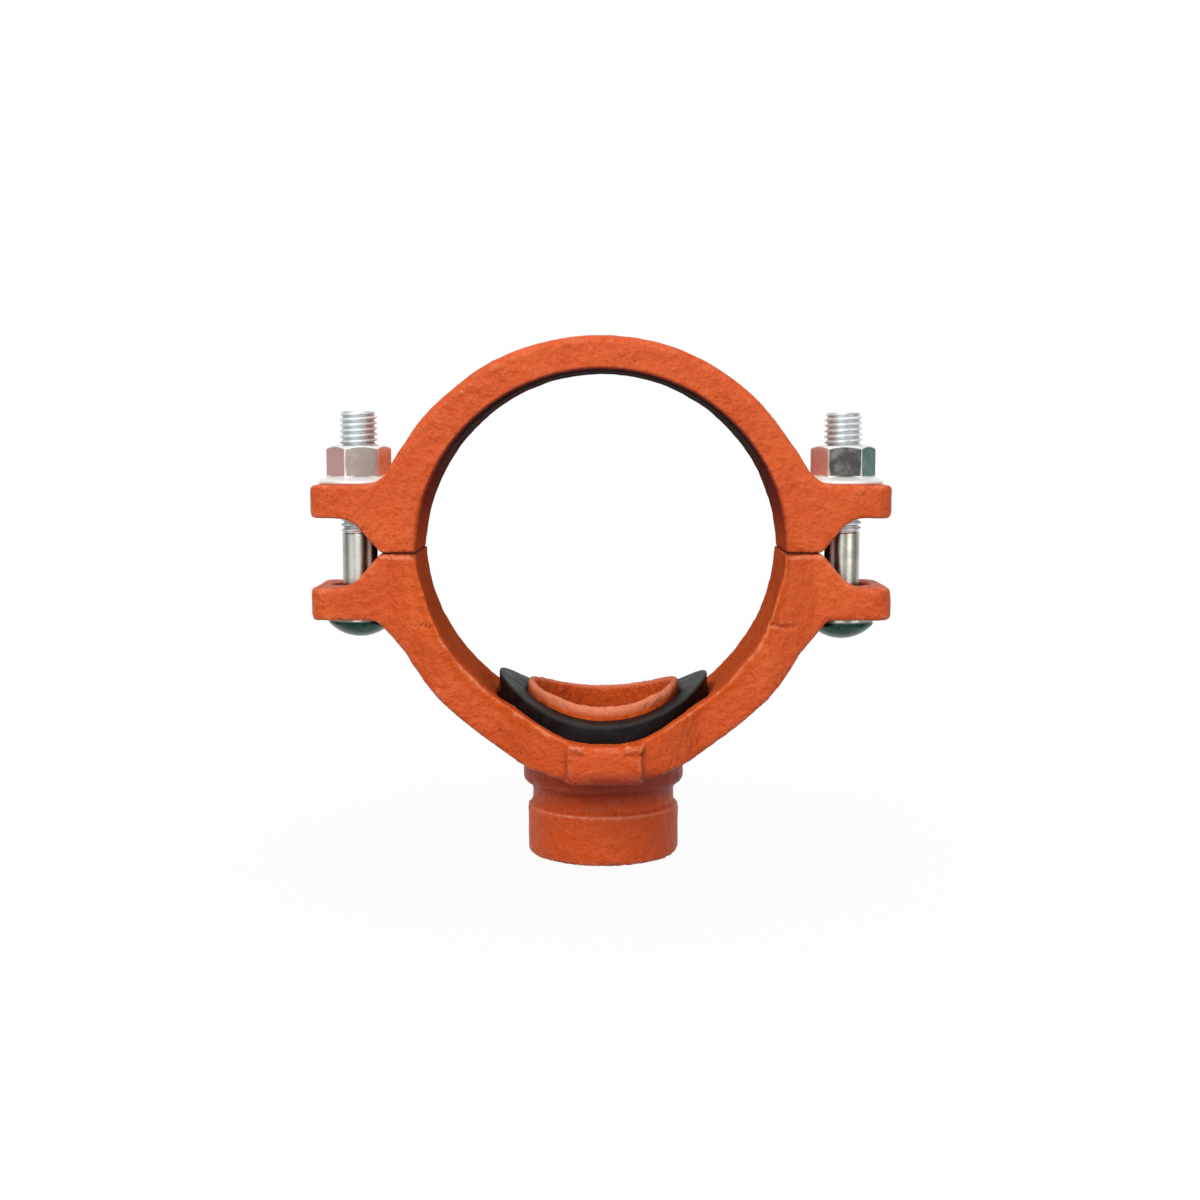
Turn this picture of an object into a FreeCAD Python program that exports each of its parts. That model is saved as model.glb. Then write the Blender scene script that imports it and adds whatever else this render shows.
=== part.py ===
import FreeCAD, Part

import math
import os
import re

import Sketcher

# Mechanical tee, 4 inch run by 1-1/2 inch grooved branch.
# Frame: the origin is where the run pipe's axis (along Y) meets the branch axis (along Z).
# X runs through the two bolts, +Z is up, and the outlet points down. The housings meet at Z = 0.

SIZES = [
    # Run pipe and the two cast halves round it
    ("pipe_diameter", 114.3, "outside diameter of the run pipe"),
    ("saddle_clearance", 0.25, "radial play of the cast bore on the pipe"),
    ("upper_drop", 1.35, "the upper bore's centre lies this far below the split"),
    ("lower_rise", 1.0, "the lower bore's centre lies this far above the split"),
    ("wall_thickness", 11.0, "radial thickness of the cast strap"),
    ("strap_half_width", 17.2, "half the width of the upper strap and of the ears"),
    ("saddle_half_width", 25.2, "half the width of the lower strap beside the boss"),
    ("flare_start", 8.6, "outside the bore's edge, where the lower strap starts to widen"),
    ("flare_end", 6.4, "inside the bore's edge, where it has its full width"),
    ("cast_edge", 1.2, "bevel that stands for the castings' rounded outer edges"),
    ("bore_edge", 0.6, "bevel along the edges of the upper bore"),
    # Bolt ears
    ("bolt_spacing", 153.6, "between the bolt axes"),
    ("ear_end", 13.8, "metal beyond a bolt's axis"),
    ("ear_gap", 10.8, "from the split to the ear's inner face"),
    ("ear_thickness", 10.2, "thickness of an ear"),
    ("ear_corner", 7.0, "plan radius of the ear's corners"),
    ("flank_run", 9.06, "how far the pad's slanted flank runs out on its way to the ear"),
    ("ear_root", 9.0, "radius between pad flank and ear"),
    ("strap_root", 8.0, "radius between the upper ear and the strap"),
    ("lower_web", 5.2, "how far the lower web stands out from the strap at the ear"),
    ("lower_root", 22.0, "radius between the lower web and the strap"),
    # Branch boss, neck and grooved end
    ("boss_radius", 39.5, "plan radius of the boss round the outlet"),
    ("boss_root", 9.0, "plan radius between boss and strap"),
    ("pad_half_width", 11.2, "half the width of the flat pad on the boss"),
    ("pad_reach", 1.1, "how far the pad stands off the boss"),
    ("pad_depth", 0.9, "how far the pad hangs below the boss"),
    ("pad_edge", 0.9, "rounding of the pad's corners"),
    ("branch_diameter", 48.3, "outside diameter of the grooved end"),
    ("outlet_length", 97.3, "from the run axis to the end of the outlet"),
    ("seat_length", 15.88, "gasket seat of the grooved end"),
    ("groove_width", 7.95, "width of the groove"),
    ("groove_depth", 1.6, "depth of the groove"),
    ("groove_slope", 2.0, "height of the groove's slanted upper flank"),
    ("shoulder_step", 1.45, "how far the neck stands proud of the grooved end"),
    ("end_chamfer", 0.8, "chamfer on the outlet's end"),
    # Locating collar and gasket
    ("collar_radius", 24.0, "outside radius of the locating collar"),
    ("collar_wall", 2.7, "wall of the collar, which sets the waterway's radius right through"),
    ("collar_rise", 8.8, "how far the collar stands into the bore"),
    ("collar_edge", 1.0, "bevel of the collar's rim"),
    ("pocket_radius", 33.9, "radius of the gasket pocket"),
    ("pocket_depth", 4.1, "depth of the gasket pocket below the bore"),
    ("gasket_fit", 0.4, "play of the gasket in its pocket"),
    ("gasket_rise", 5.4, "how far the gasket stands into the bore"),
    ("gasket_taper", 0.08, "how much the gasket's outside narrows with each millimetre of height"),
    ("gasket_gap", 0.5, "between gasket and collar"),
    ("gasket_seat", 0.1, "between gasket and pocket floor"),
    ("lip_groove", 3.0, "depth of the pressure groove inside the gasket"),
    ("lip_width", 2.8, "width of that groove"),
    ("lip_thickness", 3.4, "rubber above that groove"),
    # Track bolts and flange nuts, M12 by 1.75
    ("bolt_length", 65.0, "from under the head to the tip"),
    ("bolt_diameter", 11.8, "over the thread"),
    ("shank_diameter", 11.1, "of the plain shank"),
    ("thread_length", 39.0, "length of the thread"),
    ("tip_chamfer", 1.0, "chamfer on the bolt's tip"),
    ("head_radius", 10.2, "radius of the round head"),
    ("head_rim", 1.7, "height of the head's cylindrical rim"),
    ("head_dome", 4.6, "height of the head's dome"),
    ("neck_length", 16.6, "long side of the oval neck"),
    ("neck_width", 12.0, "short side of the oval neck"),
    ("neck_height", 7.6, "height of the oval neck"),
    ("hole_play", 0.5, "play of the oval neck in its hole, each side"),
    ("across_flats", 18.0, "of the hexagon"),
    ("nut_height", 12.0, "over flange and hexagon"),
    ("nut_face", 17.3, "diameter of the nut's flat top"),
    ("nut_slope", 30.0, "degrees that the chamfer round that face falls outwards"),
    ("flange_radius", 12.5, "radius of the nut's flange"),
    ("flange_rim", 1.4, "height of the flange's rim"),
    ("flange_slope", 1.5, "height of the flange's cone"),
    ("thread_play", 0.05, "radial play between nut and bolt"),
    ("left_nut_turn", 12.5, "degrees that the left nut was stopped past square"),
    ("right_nut_turn", 56.5, "degrees that the right nut was stopped past square"),
    ("spot_play", 0.9, "between the nut's flange and its spot face"),
    ("head_play", 1.2, "between the bolt's head and its relief"),
]
NAMES = {alias for alias, number, note in SIZES}
SIDES_OF_HEXAGON = 6
DOME_RINGS = 2
SAME = 0.01
UPRIGHT = 0.05

# Places and sizes that follow from the driving ones
BORE = "(pipe_diameter / 2 + saddle_clearance)"
OUTER = f"({BORE} + wall_thickness)"
BOLT_X = "(bolt_spacing / 2)"
EAR_X = f"({BOLT_X} + ear_end)"
EAR_Z = "(ear_gap + ear_thickness)"
POCKET_FLOOR = f"({BORE} + pocket_depth)"
BRANCH = "(branch_diameter / 2)"
NECK = f"({BRANCH} + shoulder_step)"
GROOVE_END = "(outlet_length - seat_length)"
GROOVE_START = f"({GROOVE_END} - groove_width)"
COLLAR_INSIDE = "(collar_radius - collar_wall)"
COLLAR_FOOT = f"(lower_rise - {OUTER} + wall_thickness / 2)"

X_AXIS = FreeCAD.Vector(1, 0, 0)
Y_AXIS = FreeCAD.Vector(0, 1, 0)
Z_AXIS = FreeCAD.Vector(0, 0, 1)

doc = FreeCAD.newDocument("mechanical_tee")
sheet = doc.addObject("Spreadsheet::Sheet", "sizes")
for row, (alias, number, note) in enumerate(SIZES, start=1):
    sheet.set(f"A{row}", note)
    sheet.set(f"B{row}", str(number))
    sheet.setAlias(f"B{row}", alias)
doc.recompute()


def formula(text):
    """Turns the aliases in a formula into references to the sheet."""
    return re.sub(r"[a-z_]+", lambda word: "sizes." + word[0] if word[0] in NAMES else word[0], text)


def value(text):
    """What a formula gives with the sheet's present sizes, as a plain number."""
    result = sheet.evalExpression(formula(str(text)))
    return float(getattr(result, "Value", result))


def bind(thing, **properties):
    """Ties properties of an object to formulas of the sheet's sizes."""
    for name, text in properties.items():
        thing.setExpression(name, formula(text))


def shift(thing, x="0", y="0", z="0", turn="0"):
    """Ties an object's place, and its turn about Z in degrees, to the sheet."""
    thing.setExpression("Placement.Base.x", formula(x))
    thing.setExpression("Placement.Base.y", formula(y))
    thing.setExpression("Placement.Base.z", formula(z))
    if turn != "0":
        thing.Placement = FreeCAD.Placement(thing.Placement.Base, FreeCAD.Vector(0, 0, 1), value(turn))
        thing.setExpression("Placement.Rotation.Angle", formula(turn))


def make_body(name):
    """A PartDesign body whose label is its own name."""
    body = doc.addObject("PartDesign::Body", name)
    body.Label = name
    return body


def origin_plane(body, role):
    """One of a body's own origin planes, such as XZ_Plane."""
    return next(feature for feature in body.Origin.OriginFeatures if feature.Role == role)


def new_sketch(body, name, plane, height="0"):
    """A sketch on one of the body's origin planes, lifted along the plane's normal."""
    sketch = body.newObject("Sketcher::SketchObject", name)
    sketch.AttachmentSupport = [(origin_plane(body, plane), "")]
    sketch.MapMode = "FlatFace"
    if height != "0":
        sketch.setExpression("AttachmentOffset.Base.z", formula(height))
    return sketch


def hold(sketch, kind, element, end, text):
    """Holds a point of a sketch element at a formula's distance from the origin, 0 being on the axis.

    The sketch's own horizontal axis is its element -1 and its vertical axis is element -2.
    """
    if text == "0":
        axis = {"DistanceY": -1, "DistanceX": -2}[kind]
        sketch.addConstraint(Sketcher.Constraint("PointOnObject", element, end, axis))
        return
    number = sketch.addConstraint(Sketcher.Constraint(kind, element, end, value(text)))
    sketch.setExpression(f"Constraints[{number}]", formula(text))


def pin_point(sketch, element, end, point):
    """Holds one end of a sketch element at a pair of formulas."""
    hold(sketch, "DistanceX", element, end, point[0])
    hold(sketch, "DistanceY", element, end, point[1])


def vector(point):
    """A pair of formulas as a point of a sketch."""
    return FreeCAD.Vector(value(point[0]), value(point[1]), 0)


def draw_outline(sketch, corners, arcs=None):
    """Draws a closed outline through corners given as pairs of formulas.

    arcs maps the number of the side that starts at a corner to (height, bulge): that side is an arc round a
    centre on the vertical axis at that height, anticlockwise where bulge is 1 and clockwise where it is -1.
    Its two ends and that height fix the centre. Other sides are straight.
    """
    arcs = arcs or {}
    first_element = sketch.GeometryCount
    for number, corner in enumerate(corners):
        first = vector(corner)
        last = vector(corners[(number + 1) % len(corners)])
        if number in arcs:
            height, bulge = arcs[number]
            middle = vector(("0", height))
            circle = Part.Circle(middle, Z_AXIS, (first - middle).Length)
            ends = (first, last) if bulge > 0 else (last, first)
            angles = [circle.parameter(end) for end in ends]
            element = sketch.addGeometry(Part.ArcOfCircle(circle, *angles))
            hold(sketch, "DistanceY", element, 3, height)
            pin_point(sketch, element, 1 if bulge > 0 else 2, corner)
        else:
            element = sketch.addGeometry(Part.LineSegment(first, last))
            pin_point(sketch, element, 1, corner)
    for number in range(len(corners)):
        following = (number + 1) % len(corners)
        ends_at = 1 if number in arcs and arcs[number][1] < 0 else 2
        starts_at = 2 if following in arcs and arcs[following][1] < 0 else 1
        sketch.addConstraint(
            Sketcher.Constraint(
                "Coincident", first_element + number, ends_at, first_element + following, starts_at
            )
        )


def draw_frame(sketch):
    """Draws a square far outside the part, so that a cut takes all that is outside the next outline."""
    beyond = f"2 * {EAR_X}"
    behind = f"-{beyond}"
    draw_outline(sketch, [(beyond, behind), (beyond, beyond), (behind, beyond), (behind, behind)])


def mirrored(corners):
    """The corners of a right half, followed by those of its left half in reverse."""
    return corners + [(f"-({x})", y) for x, y in reversed(corners)]


def dressed(body, kind, name, edges):
    """A fillet or chamfer on the edges of the body's tip that the test picks."""
    doc.recompute()
    base = body.Tip
    shape = base.Shape
    picked = [f"Edge{number}" for number, edge in enumerate(shape.Edges, start=1) if edges(edge, shape)]
    feature = body.newObject(kind, name)
    feature.Base = (base, picked)
    return feature


def rounded(body, name, radius, edges):
    """A fillet whose radius is tied to the sheet."""
    bind(dressed(body, "PartDesign::Fillet", name, edges), Radius=radius)
    doc.recompute()


def bevelled(body, name, size, edges):
    """A 45 degree chamfer whose size is tied to the sheet."""
    bind(dressed(body, "PartDesign::Chamfer", name, edges), Size=size)
    doc.recompute()


def near(first, second):
    """Whether two numbers are the same, as far as the shapes' own accuracy goes."""
    return abs(first - second) < SAME


def along(edge, axis):
    """Whether an edge is a straight line along an axis."""
    if not isinstance(edge.Curve, Part.Line):
        return False
    return near(abs(edge.Curve.Direction.dot(axis)), 1)


def middle_of(edge):
    """The point halfway along an edge."""
    return edge.valueAt((edge.FirstParameter + edge.LastParameter) / 2)


def edges_along_y(x, z):
    """A test for edges along Y at height z and at the distance x from the middle plane."""

    def test(edge, shape):
        point = middle_of(edge)
        return along(edge, Y_AXIS) and near(abs(point.x), value(x)) and near(point.z, value(z))

    return test


def edges_along_z(x, y):
    """A test for upright edges at the distances x and y from the two middle planes."""

    def test(edge, shape):
        point = middle_of(edge)
        return along(edge, Z_AXIS) and near(abs(point.x), value(x)) and near(abs(point.y), value(y))

    return test


def wall_edges(in_bore):
    """A test for the edges between an upright wall and a face that runs along Y.

    in_bore picks the edges of the bore where it is true, and all others where it is false.
    """

    def test(edge, shape):
        point = middle_of(edge)
        faces = shape.ancestorsOfType(edge, Part.Face)
        if len(faces) != 2:
            return False
        normals = [face.normalAt(*face.Surface.parameter(point)) for face in faces]
        if abs(normals[0].y) > abs(normals[1].y):
            faces.reverse()
            normals.reverse()
        level, upright = normals
        if abs(level.y) > SAME or abs(upright.y) < UPRIGHT or abs(upright.z) > SAME:
            return False
        surface = faces[0].Surface
        bored = isinstance(surface, Part.Cylinder) and near(surface.Radius, value(BORE))
        return bored == in_bore

    return test


def flare_edges(wanted):
    """A test for the outer edges along the lower half's flares where wanted is true, or for its other ones."""
    start = value(f"{BORE} + flare_start")
    end = value(f"{BORE} - flare_end")

    def test(edge, shape):
        point = middle_of(edge)
        flared = end < abs(point.x) < start and point.z < -SAME
        return flared == wanted and wall_edges(False)(edge, shape)

    return test


def half_outline(body, name, centre_z, side):
    """The outline in the XZ plane of one housing half: pads, flanks, ears, outer arc and bore arc.

    side is 1 for the upper half and -1 for the lower. centre_z is the height of the bore's centre.
    """
    strap_x = f"sqrt({OUTER}^2 - ({side} * {EAR_Z} - {centre_z})^2)"
    right = [
        (f"sqrt({BORE}^2 - {centre_z}^2)", "0"),
        (OUTER, "0"),
        (f"({OUTER} + flank_run)", f"{side} * ear_gap"),
        (EAR_X, f"{side} * ear_gap"),
        (EAR_X, f"{side} * {EAR_Z}"),
    ]
    if side > 0:
        right.append((strap_x, EAR_Z))
    else:
        # The lower web leaves the ear at 45 degrees, down to where that line crosses the strap's circle
        web_x = f"({strap_x} + lower_web)"
        reach = f"({web_x} + {EAR_Z} + {centre_z})"
        chord = f"sqrt(2 * {OUTER}^2 - {reach}^2)"
        right.append((web_x, f"-{EAR_Z}"))
        right.append((f"({reach} + {chord}) / 2", f"{centre_z} - ({reach} - {chord}) / 2"))
    corners = mirrored(right)
    sketch = new_sketch(body, name, "XZ_Plane")
    draw_outline(sketch, corners, {len(right) - 1: (centre_z, side), len(corners) - 1: (centre_z, -side)})
    return sketch, right


def pad_both_ways(body, name, sketch, length):
    """Pads a sketch to both sides of its plane, length in all."""
    pad = body.newObject("PartDesign::Pad", name)
    pad.Profile = sketch
    pad.SideType = "Symmetric"
    bind(pad, Length=length)
    return pad


def cut_both_ways(body, name, sketch):
    """Cuts a sketch right through the body, to both sides of its plane."""
    pocket = body.newObject("PartDesign::Pocket", name)
    pocket.Profile = sketch
    pocket.SideType = "Symmetric"
    bind(pocket, Length=f"4 * {EAR_X}")
    return pocket


def cylinder(name, radius, height, z="0"):
    """A cylinder about the branch axis that starts at height z."""
    thing = doc.addObject("Part::Cylinder", name)
    bind(thing, Radius=radius, Height=height)
    shift(thing, z=z)
    return thing


def run_cylinder(name, radius, z):
    """A cylinder along the run pipe, past both ends of the boss, with its axis at height z."""
    thing = doc.addObject("Part::Cylinder", name)
    thing.Placement = FreeCAD.Placement(FreeCAD.Vector(0, 0, 0), FreeCAD.Rotation(X_AXIS, -90))
    bind(thing, Radius=radius, Height=f"4 * {NECK}")
    thing.setExpression("Placement.Base.y", formula(f"-2 * {NECK}"))
    thing.setExpression("Placement.Base.z", formula(z))
    return thing


def cut(name, base, tool):
    """What is left of base after the tool is taken away."""
    thing = doc.addObject("Part::Cut", name)
    thing.Base = base
    thing.Tool = tool
    return thing


def common(name, base, tool):
    """What base and tool share."""
    thing = doc.addObject("Part::Common", name)
    thing.Base = base
    thing.Tool = tool
    return thing


def fused(name, things):
    """Several solids made one."""
    thing = doc.addObject("Part::MultiFuse", name)
    thing.Shapes = things
    thing.Refine = True
    return thing


def draw_slot(sketch, middle_x, length, width):
    """Draws an oval along X from two half circles and the straight lines that touch them."""
    half_flat = f"(({length}) - ({width})) / 2"
    ends = [f"{middle_x} - {half_flat}", f"{middle_x} + {half_flat}"]
    centres = [vector((end, "0")) for end in ends]
    radius = value(f"({width}) / 2")
    rise = FreeCAD.Vector(0, radius, 0)
    left = sketch.addGeometry(
        Part.ArcOfCircle(Part.Circle(centres[0], Z_AXIS, radius), math.pi / 2, 3 * math.pi / 2)
    )
    below = sketch.addGeometry(Part.LineSegment(centres[0] - rise, centres[1] - rise))
    right = sketch.addGeometry(
        Part.ArcOfCircle(Part.Circle(centres[1], Z_AXIS, radius), -math.pi / 2, math.pi / 2)
    )
    above = sketch.addGeometry(Part.LineSegment(centres[1] + rise, centres[0] + rise))
    sides = [left, below, right, above]
    for side, following in zip(sides, sides[1:] + sides[:1]):
        sketch.addConstraint(Sketcher.Constraint("Tangent", side, 2, following, 1))
    for arc, end in ((left, ends[0]), (right, ends[1])):
        hold(sketch, "DistanceX", arc, 3, end)
    hold(sketch, "DistanceY", left, 3, "0")
    sketch.addConstraint(Sketcher.Constraint("Horizontal", below))
    number = sketch.addConstraint(Sketcher.Constraint("Radius", left, radius))
    sketch.setExpression(f"Constraints[{number}]", formula(f"({width}) / 2"))


def draw_circle(sketch, x, y, radius):
    """Draws a circle whose centre and radius are formulas."""
    element = sketch.addGeometry(Part.Circle(vector((x, y)), Z_AXIS, value(radius)))
    hold(sketch, "DistanceX", element, 3, x)
    hold(sketch, "DistanceY", element, 3, y)
    number = sketch.addConstraint(Sketcher.Constraint("Radius", element, value(radius)))
    sketch.setExpression(f"Constraints[{number}]", formula(radius))


def cut_bolt_holes(body, prefix):
    """Cuts the two oval holes for the bolts' necks through a housing half."""
    sketch = new_sketch(body, f"{prefix}_holes_outline", "XY_Plane")
    for side in (-1, 1):
        draw_slot(sketch, f"{side} * {BOLT_X}", "neck_length + 2 * hole_play", "neck_width + 2 * hole_play")
    cut_both_ways(body, f"{prefix}_holes", sketch)


def cut_spot_faces(body, prefix, height, radius, upwards):
    """Clears a round seat at each bolt from a height on, upwards or downwards."""
    sketch = new_sketch(body, f"{prefix}_seats_outline", "XY_Plane", height)
    for side in (-1, 1):
        draw_circle(sketch, f"{side} * {BOLT_X}", "0", radius)
    pocket = body.newObject("PartDesign::Pocket", f"{prefix}_seats")
    pocket.Profile = sketch
    pocket.Reversed = upwards
    bind(pocket, Length=OUTER)


def revolved(body, name, corners, arcs=None, cutting=False):
    """A full turn about Z of an outline in the XZ plane, added to the body or cut from it."""
    sketch = new_sketch(body, f"{name}_outline", "XZ_Plane")
    draw_outline(sketch, corners, arcs)
    kind = "PartDesign::Groove" if cutting else "PartDesign::Revolution"
    turned = body.newObject(kind, name)
    turned.Profile = sketch
    turned.ReferenceAxis = (sketch, ["V_Axis"])
    turned.Angle = 360
    doc.recompute()
    return turned


def edges_on_circles(axis, radius):
    """A test for curved edges on a cylinder of this radius about Z, or along Y."""

    def test(edge, shape):
        if along(edge, Z_AXIS):
            return False
        return any(
            isinstance(face.Surface, Part.Cylinder)
            and near(abs(face.Surface.Axis.dot(axis)), 1)
            and near(face.Surface.Radius, value(radius))
            for face in shape.ancestorsOfType(edge, Part.Face)
        )

    return test


def make_upper_housing():
    """The strap half: one arc of strap between two ears, with the nuts' spot faces on top."""
    body = make_body("upper_housing")
    profile, corners = half_outline(body, "upper_profile", "(-upper_drop)", 1)
    pad_both_ways(body, "upper_strap", profile, "2 * strap_half_width")
    rounded(body, "upper_ear_roots", "ear_root", edges_along_y(*corners[2]))
    rounded(body, "upper_strap_roots", "strap_root", edges_along_y(*corners[5]))
    rounded(body, "upper_ear_corners", "ear_corner", edges_along_z(EAR_X, "strap_half_width"))
    bevelled(body, "upper_cast_edges", "cast_edge", wall_edges(False))
    bevelled(body, "upper_bore_edges", "bore_edge", wall_edges(True))
    cut_bolt_holes(body, "upper")
    cut_spot_faces(body, "upper", EAR_Z, "flange_radius + spot_play", True)
    doc.recompute()
    return body


def lower_plan():
    """Corners of the lower half's plan outline: ears, flares, saddle sides and the round boss."""
    boss_x = "sqrt(boss_radius^2 - saddle_half_width^2)"
    right = [
        (EAR_X, "strap_half_width"),
        (f"{BORE} + flare_start", "strap_half_width"),
        (f"{BORE} - flare_end", "saddle_half_width"),
        (boss_x, "saddle_half_width"),
    ]
    back = mirrored(right)
    front = [(x, f"-{y}") for x, y in reversed(back)]
    return right, back + front


def make_lower_blank():
    """The saddle half before its pocket and collar: strap, ears, boss, pads, neck and grooved end."""
    body = make_body("lower_blank")
    profile, corners = half_outline(body, "lower_profile", "lower_rise", -1)
    pad_both_ways(body, "lower_strap", profile, "2 * boss_radius")
    rounded(body, "lower_ear_roots", "ear_root", edges_along_y(*corners[2]))
    rounded(body, "lower_strap_roots", "lower_root", edges_along_y(*corners[6]))

    right, outline = lower_plan()
    plan = new_sketch(body, "lower_plan_outline", "XY_Plane")
    draw_frame(plan)
    draw_outline(plan, outline, {len(right) - 1: ("0", 1), 3 * len(right) - 1: ("0", 1)})
    cut_both_ways(body, "lower_trim", plan)
    rounded(body, "lower_boss_roots", "boss_root", edges_along_z(*right[3]))
    rounded(body, "lower_ear_corners", "ear_corner", edges_along_z(*right[0]))
    bevelled(body, "lower_cast_edges", "cast_edge", flare_edges(False))
    bevelled(body, "lower_flare_edges", "cast_edge", flare_edges(True))
    cut_bolt_holes(body, "lower")
    cut_spot_faces(body, "lower", f"-{EAR_Z}", "head_radius + head_play", False)

    pad_top = f"lower_rise - {BORE}"
    sketch = new_sketch(body, "boss_pad_outline", "XY_Plane", pad_top)
    front = "(boss_radius + pad_reach)"
    draw_outline(
        sketch,
        [
            ("pad_half_width", f"-{front}"),
            ("pad_half_width", front),
            ("-pad_half_width", front),
            ("-pad_half_width", f"-{front}"),
        ],
    )
    pads = body.newObject("PartDesign::Pad", "boss_pads")
    pads.Profile = sketch
    pads.Reversed = True
    bind(pads, Length="wall_thickness + pad_depth")
    rounded(body, "boss_pad_corners", "pad_edge", edges_along_z("pad_half_width", front))

    inner = f"({COLLAR_INSIDE} / 2)"
    revolved(
        body,
        "outlet",
        [
            (inner, f"-{POCKET_FLOOR}"),
            (inner, "-outlet_length"),
            (f"{BRANCH} - end_chamfer", "-outlet_length"),
            (BRANCH, "end_chamfer - outlet_length"),
            (BRANCH, f"-{GROOVE_END}"),
            (f"{BRANCH} - groove_depth", f"-{GROOVE_END}"),
            (f"{BRANCH} - groove_depth", f"-{GROOVE_START} - groove_slope"),
            (NECK, f"-{GROOVE_START}"),
            (NECK, f"-{POCKET_FLOOR}"),
        ],
    )
    doc.recompute()
    return body


def make_collar():
    """The locating collar: a short tube whose rim is cut to the curve of the run bore, then rounded."""
    body = make_body("collar")
    revolved(
        body,
        "collar_tube",
        [
            (COLLAR_INSIDE, COLLAR_FOOT),
            ("collar_radius", COLLAR_FOOT),
            ("collar_radius", "-ear_gap"),
            (COLLAR_INSIDE, "-ear_gap"),
        ],
    )
    sketch = new_sketch(body, "collar_saddle_outline", "XZ_Plane")
    draw_circle(sketch, "0", "lower_rise", f"{BORE} - collar_rise")
    cut_both_ways(body, "collar_saddle", sketch)
    bevelled(body, "collar_rim", "collar_edge", edges_on_circles(Y_AXIS, f"{BORE} - collar_rise"))
    return body


def make_lower_housing():
    """The saddle half: the blank with its gasket pocket, the collar and the waterway."""
    blank = make_lower_blank()
    collar = make_collar()
    pocket_round = cylinder("pocket_round", "pocket_radius", OUTER, f"-{OUTER}")
    pocket_saddle = run_cylinder("pocket_saddle", POCKET_FLOOR, "lower_rise")
    pocket = common("pocket", pocket_round, pocket_saddle)
    seated = cut("lower_with_pocket", blank, pocket)
    joined = fused("lower_with_collar", [seated, collar])
    waterway = cylinder("waterway", COLLAR_INSIDE, "outlet_length", "-outlet_length")
    housing = cut("lower_housing", joined, waterway)
    housing.Label = "lower_housing"
    doc.recompute()
    return housing


def make_gasket():
    """The saddle-shaped seal: a ring cut to the run pipe's curve above and to the pocket's floor below."""
    body = make_body("gasket_ring")
    inside = "(collar_radius + gasket_gap)"
    outside = "(pocket_radius - gasket_fit)"
    rim = f"(lower_rise - {BORE})"
    top = f"({BORE} - gasket_rise)"
    floor = f"({POCKET_FLOOR} - gasket_seat)"
    revolved(
        body,
        "gasket_tube",
        [
            (inside, f"-{OUTER}"),
            (outside, f"-{OUTER}"),
            (outside, rim),
            (f"{outside} + gasket_taper * ({rim} + ear_gap)", "-ear_gap"),
            (inside, "-ear_gap"),
        ],
    )
    sketch = new_sketch(body, "gasket_top_outline", "XZ_Plane")
    draw_circle(sketch, "0", "lower_rise", top)
    cut_both_ways(body, "gasket_top", sketch)
    sketch = new_sketch(body, "gasket_floor_outline", "XZ_Plane")
    draw_frame(sketch)
    draw_circle(sketch, "0", "lower_rise", floor)
    cut_both_ways(body, "gasket_floor", sketch)

    ring = cylinder("lip_ring", f"{inside} + lip_groove", OUTER, f"-{OUTER}")
    above = run_cylinder("lip_above", f"{top} + lip_thickness", "lower_rise")
    below = run_cylinder("lip_below", f"{top} + lip_thickness + lip_width", "lower_rise")
    groove = common("lip_groove_ring", ring, cut("lip_shell", below, above))
    gasket = cut("gasket", body, groove)
    gasket.Label = "gasket"
    doc.recompute()
    return gasket


def make_bolt(name, side):
    """A track bolt: round domed head, oval neck, plain shank and threaded end, standing head down."""
    body = make_body(name)
    shank = "(shank_diameter / 2)"
    thread = "(bolt_diameter / 2)"
    tip = "bolt_length"
    dome_radius = "((head_radius^2 + head_dome^2) / (2 * head_dome))"
    dome = []
    for ring in range(DOME_RINGS):
        out = f"(head_radius * {ring} / {DOME_RINGS})"
        dome.append((out, f"{dome_radius} - head_rim - head_dome - sqrt({dome_radius}^2 - {out}^2)"))
    dome[0] = ("0", "-(head_rim + head_dome)")
    revolved(
        body,
        f"{name}_turned",
        dome
        + [
            ("head_radius", "-head_rim"),
            ("head_radius", "0"),
            (shank, "0"),
            (shank, "bolt_length - thread_length"),
            (thread, "bolt_length - thread_length"),
            (thread, "bolt_length - tip_chamfer"),
            (f"{thread} - tip_chamfer", tip),
            ("0", tip),
        ],
    )
    sketch = new_sketch(body, f"{name}_neck_outline", "XY_Plane")
    draw_slot(sketch, "0", "neck_length", "neck_width")
    neck = body.newObject("PartDesign::Pad", f"{name}_neck")
    neck.Profile = sketch
    bind(neck, Length="neck_height")
    shift(body, x=f"{side} * {BOLT_X}", z=f"-{EAR_Z}")
    doc.recompute()
    return body


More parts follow.
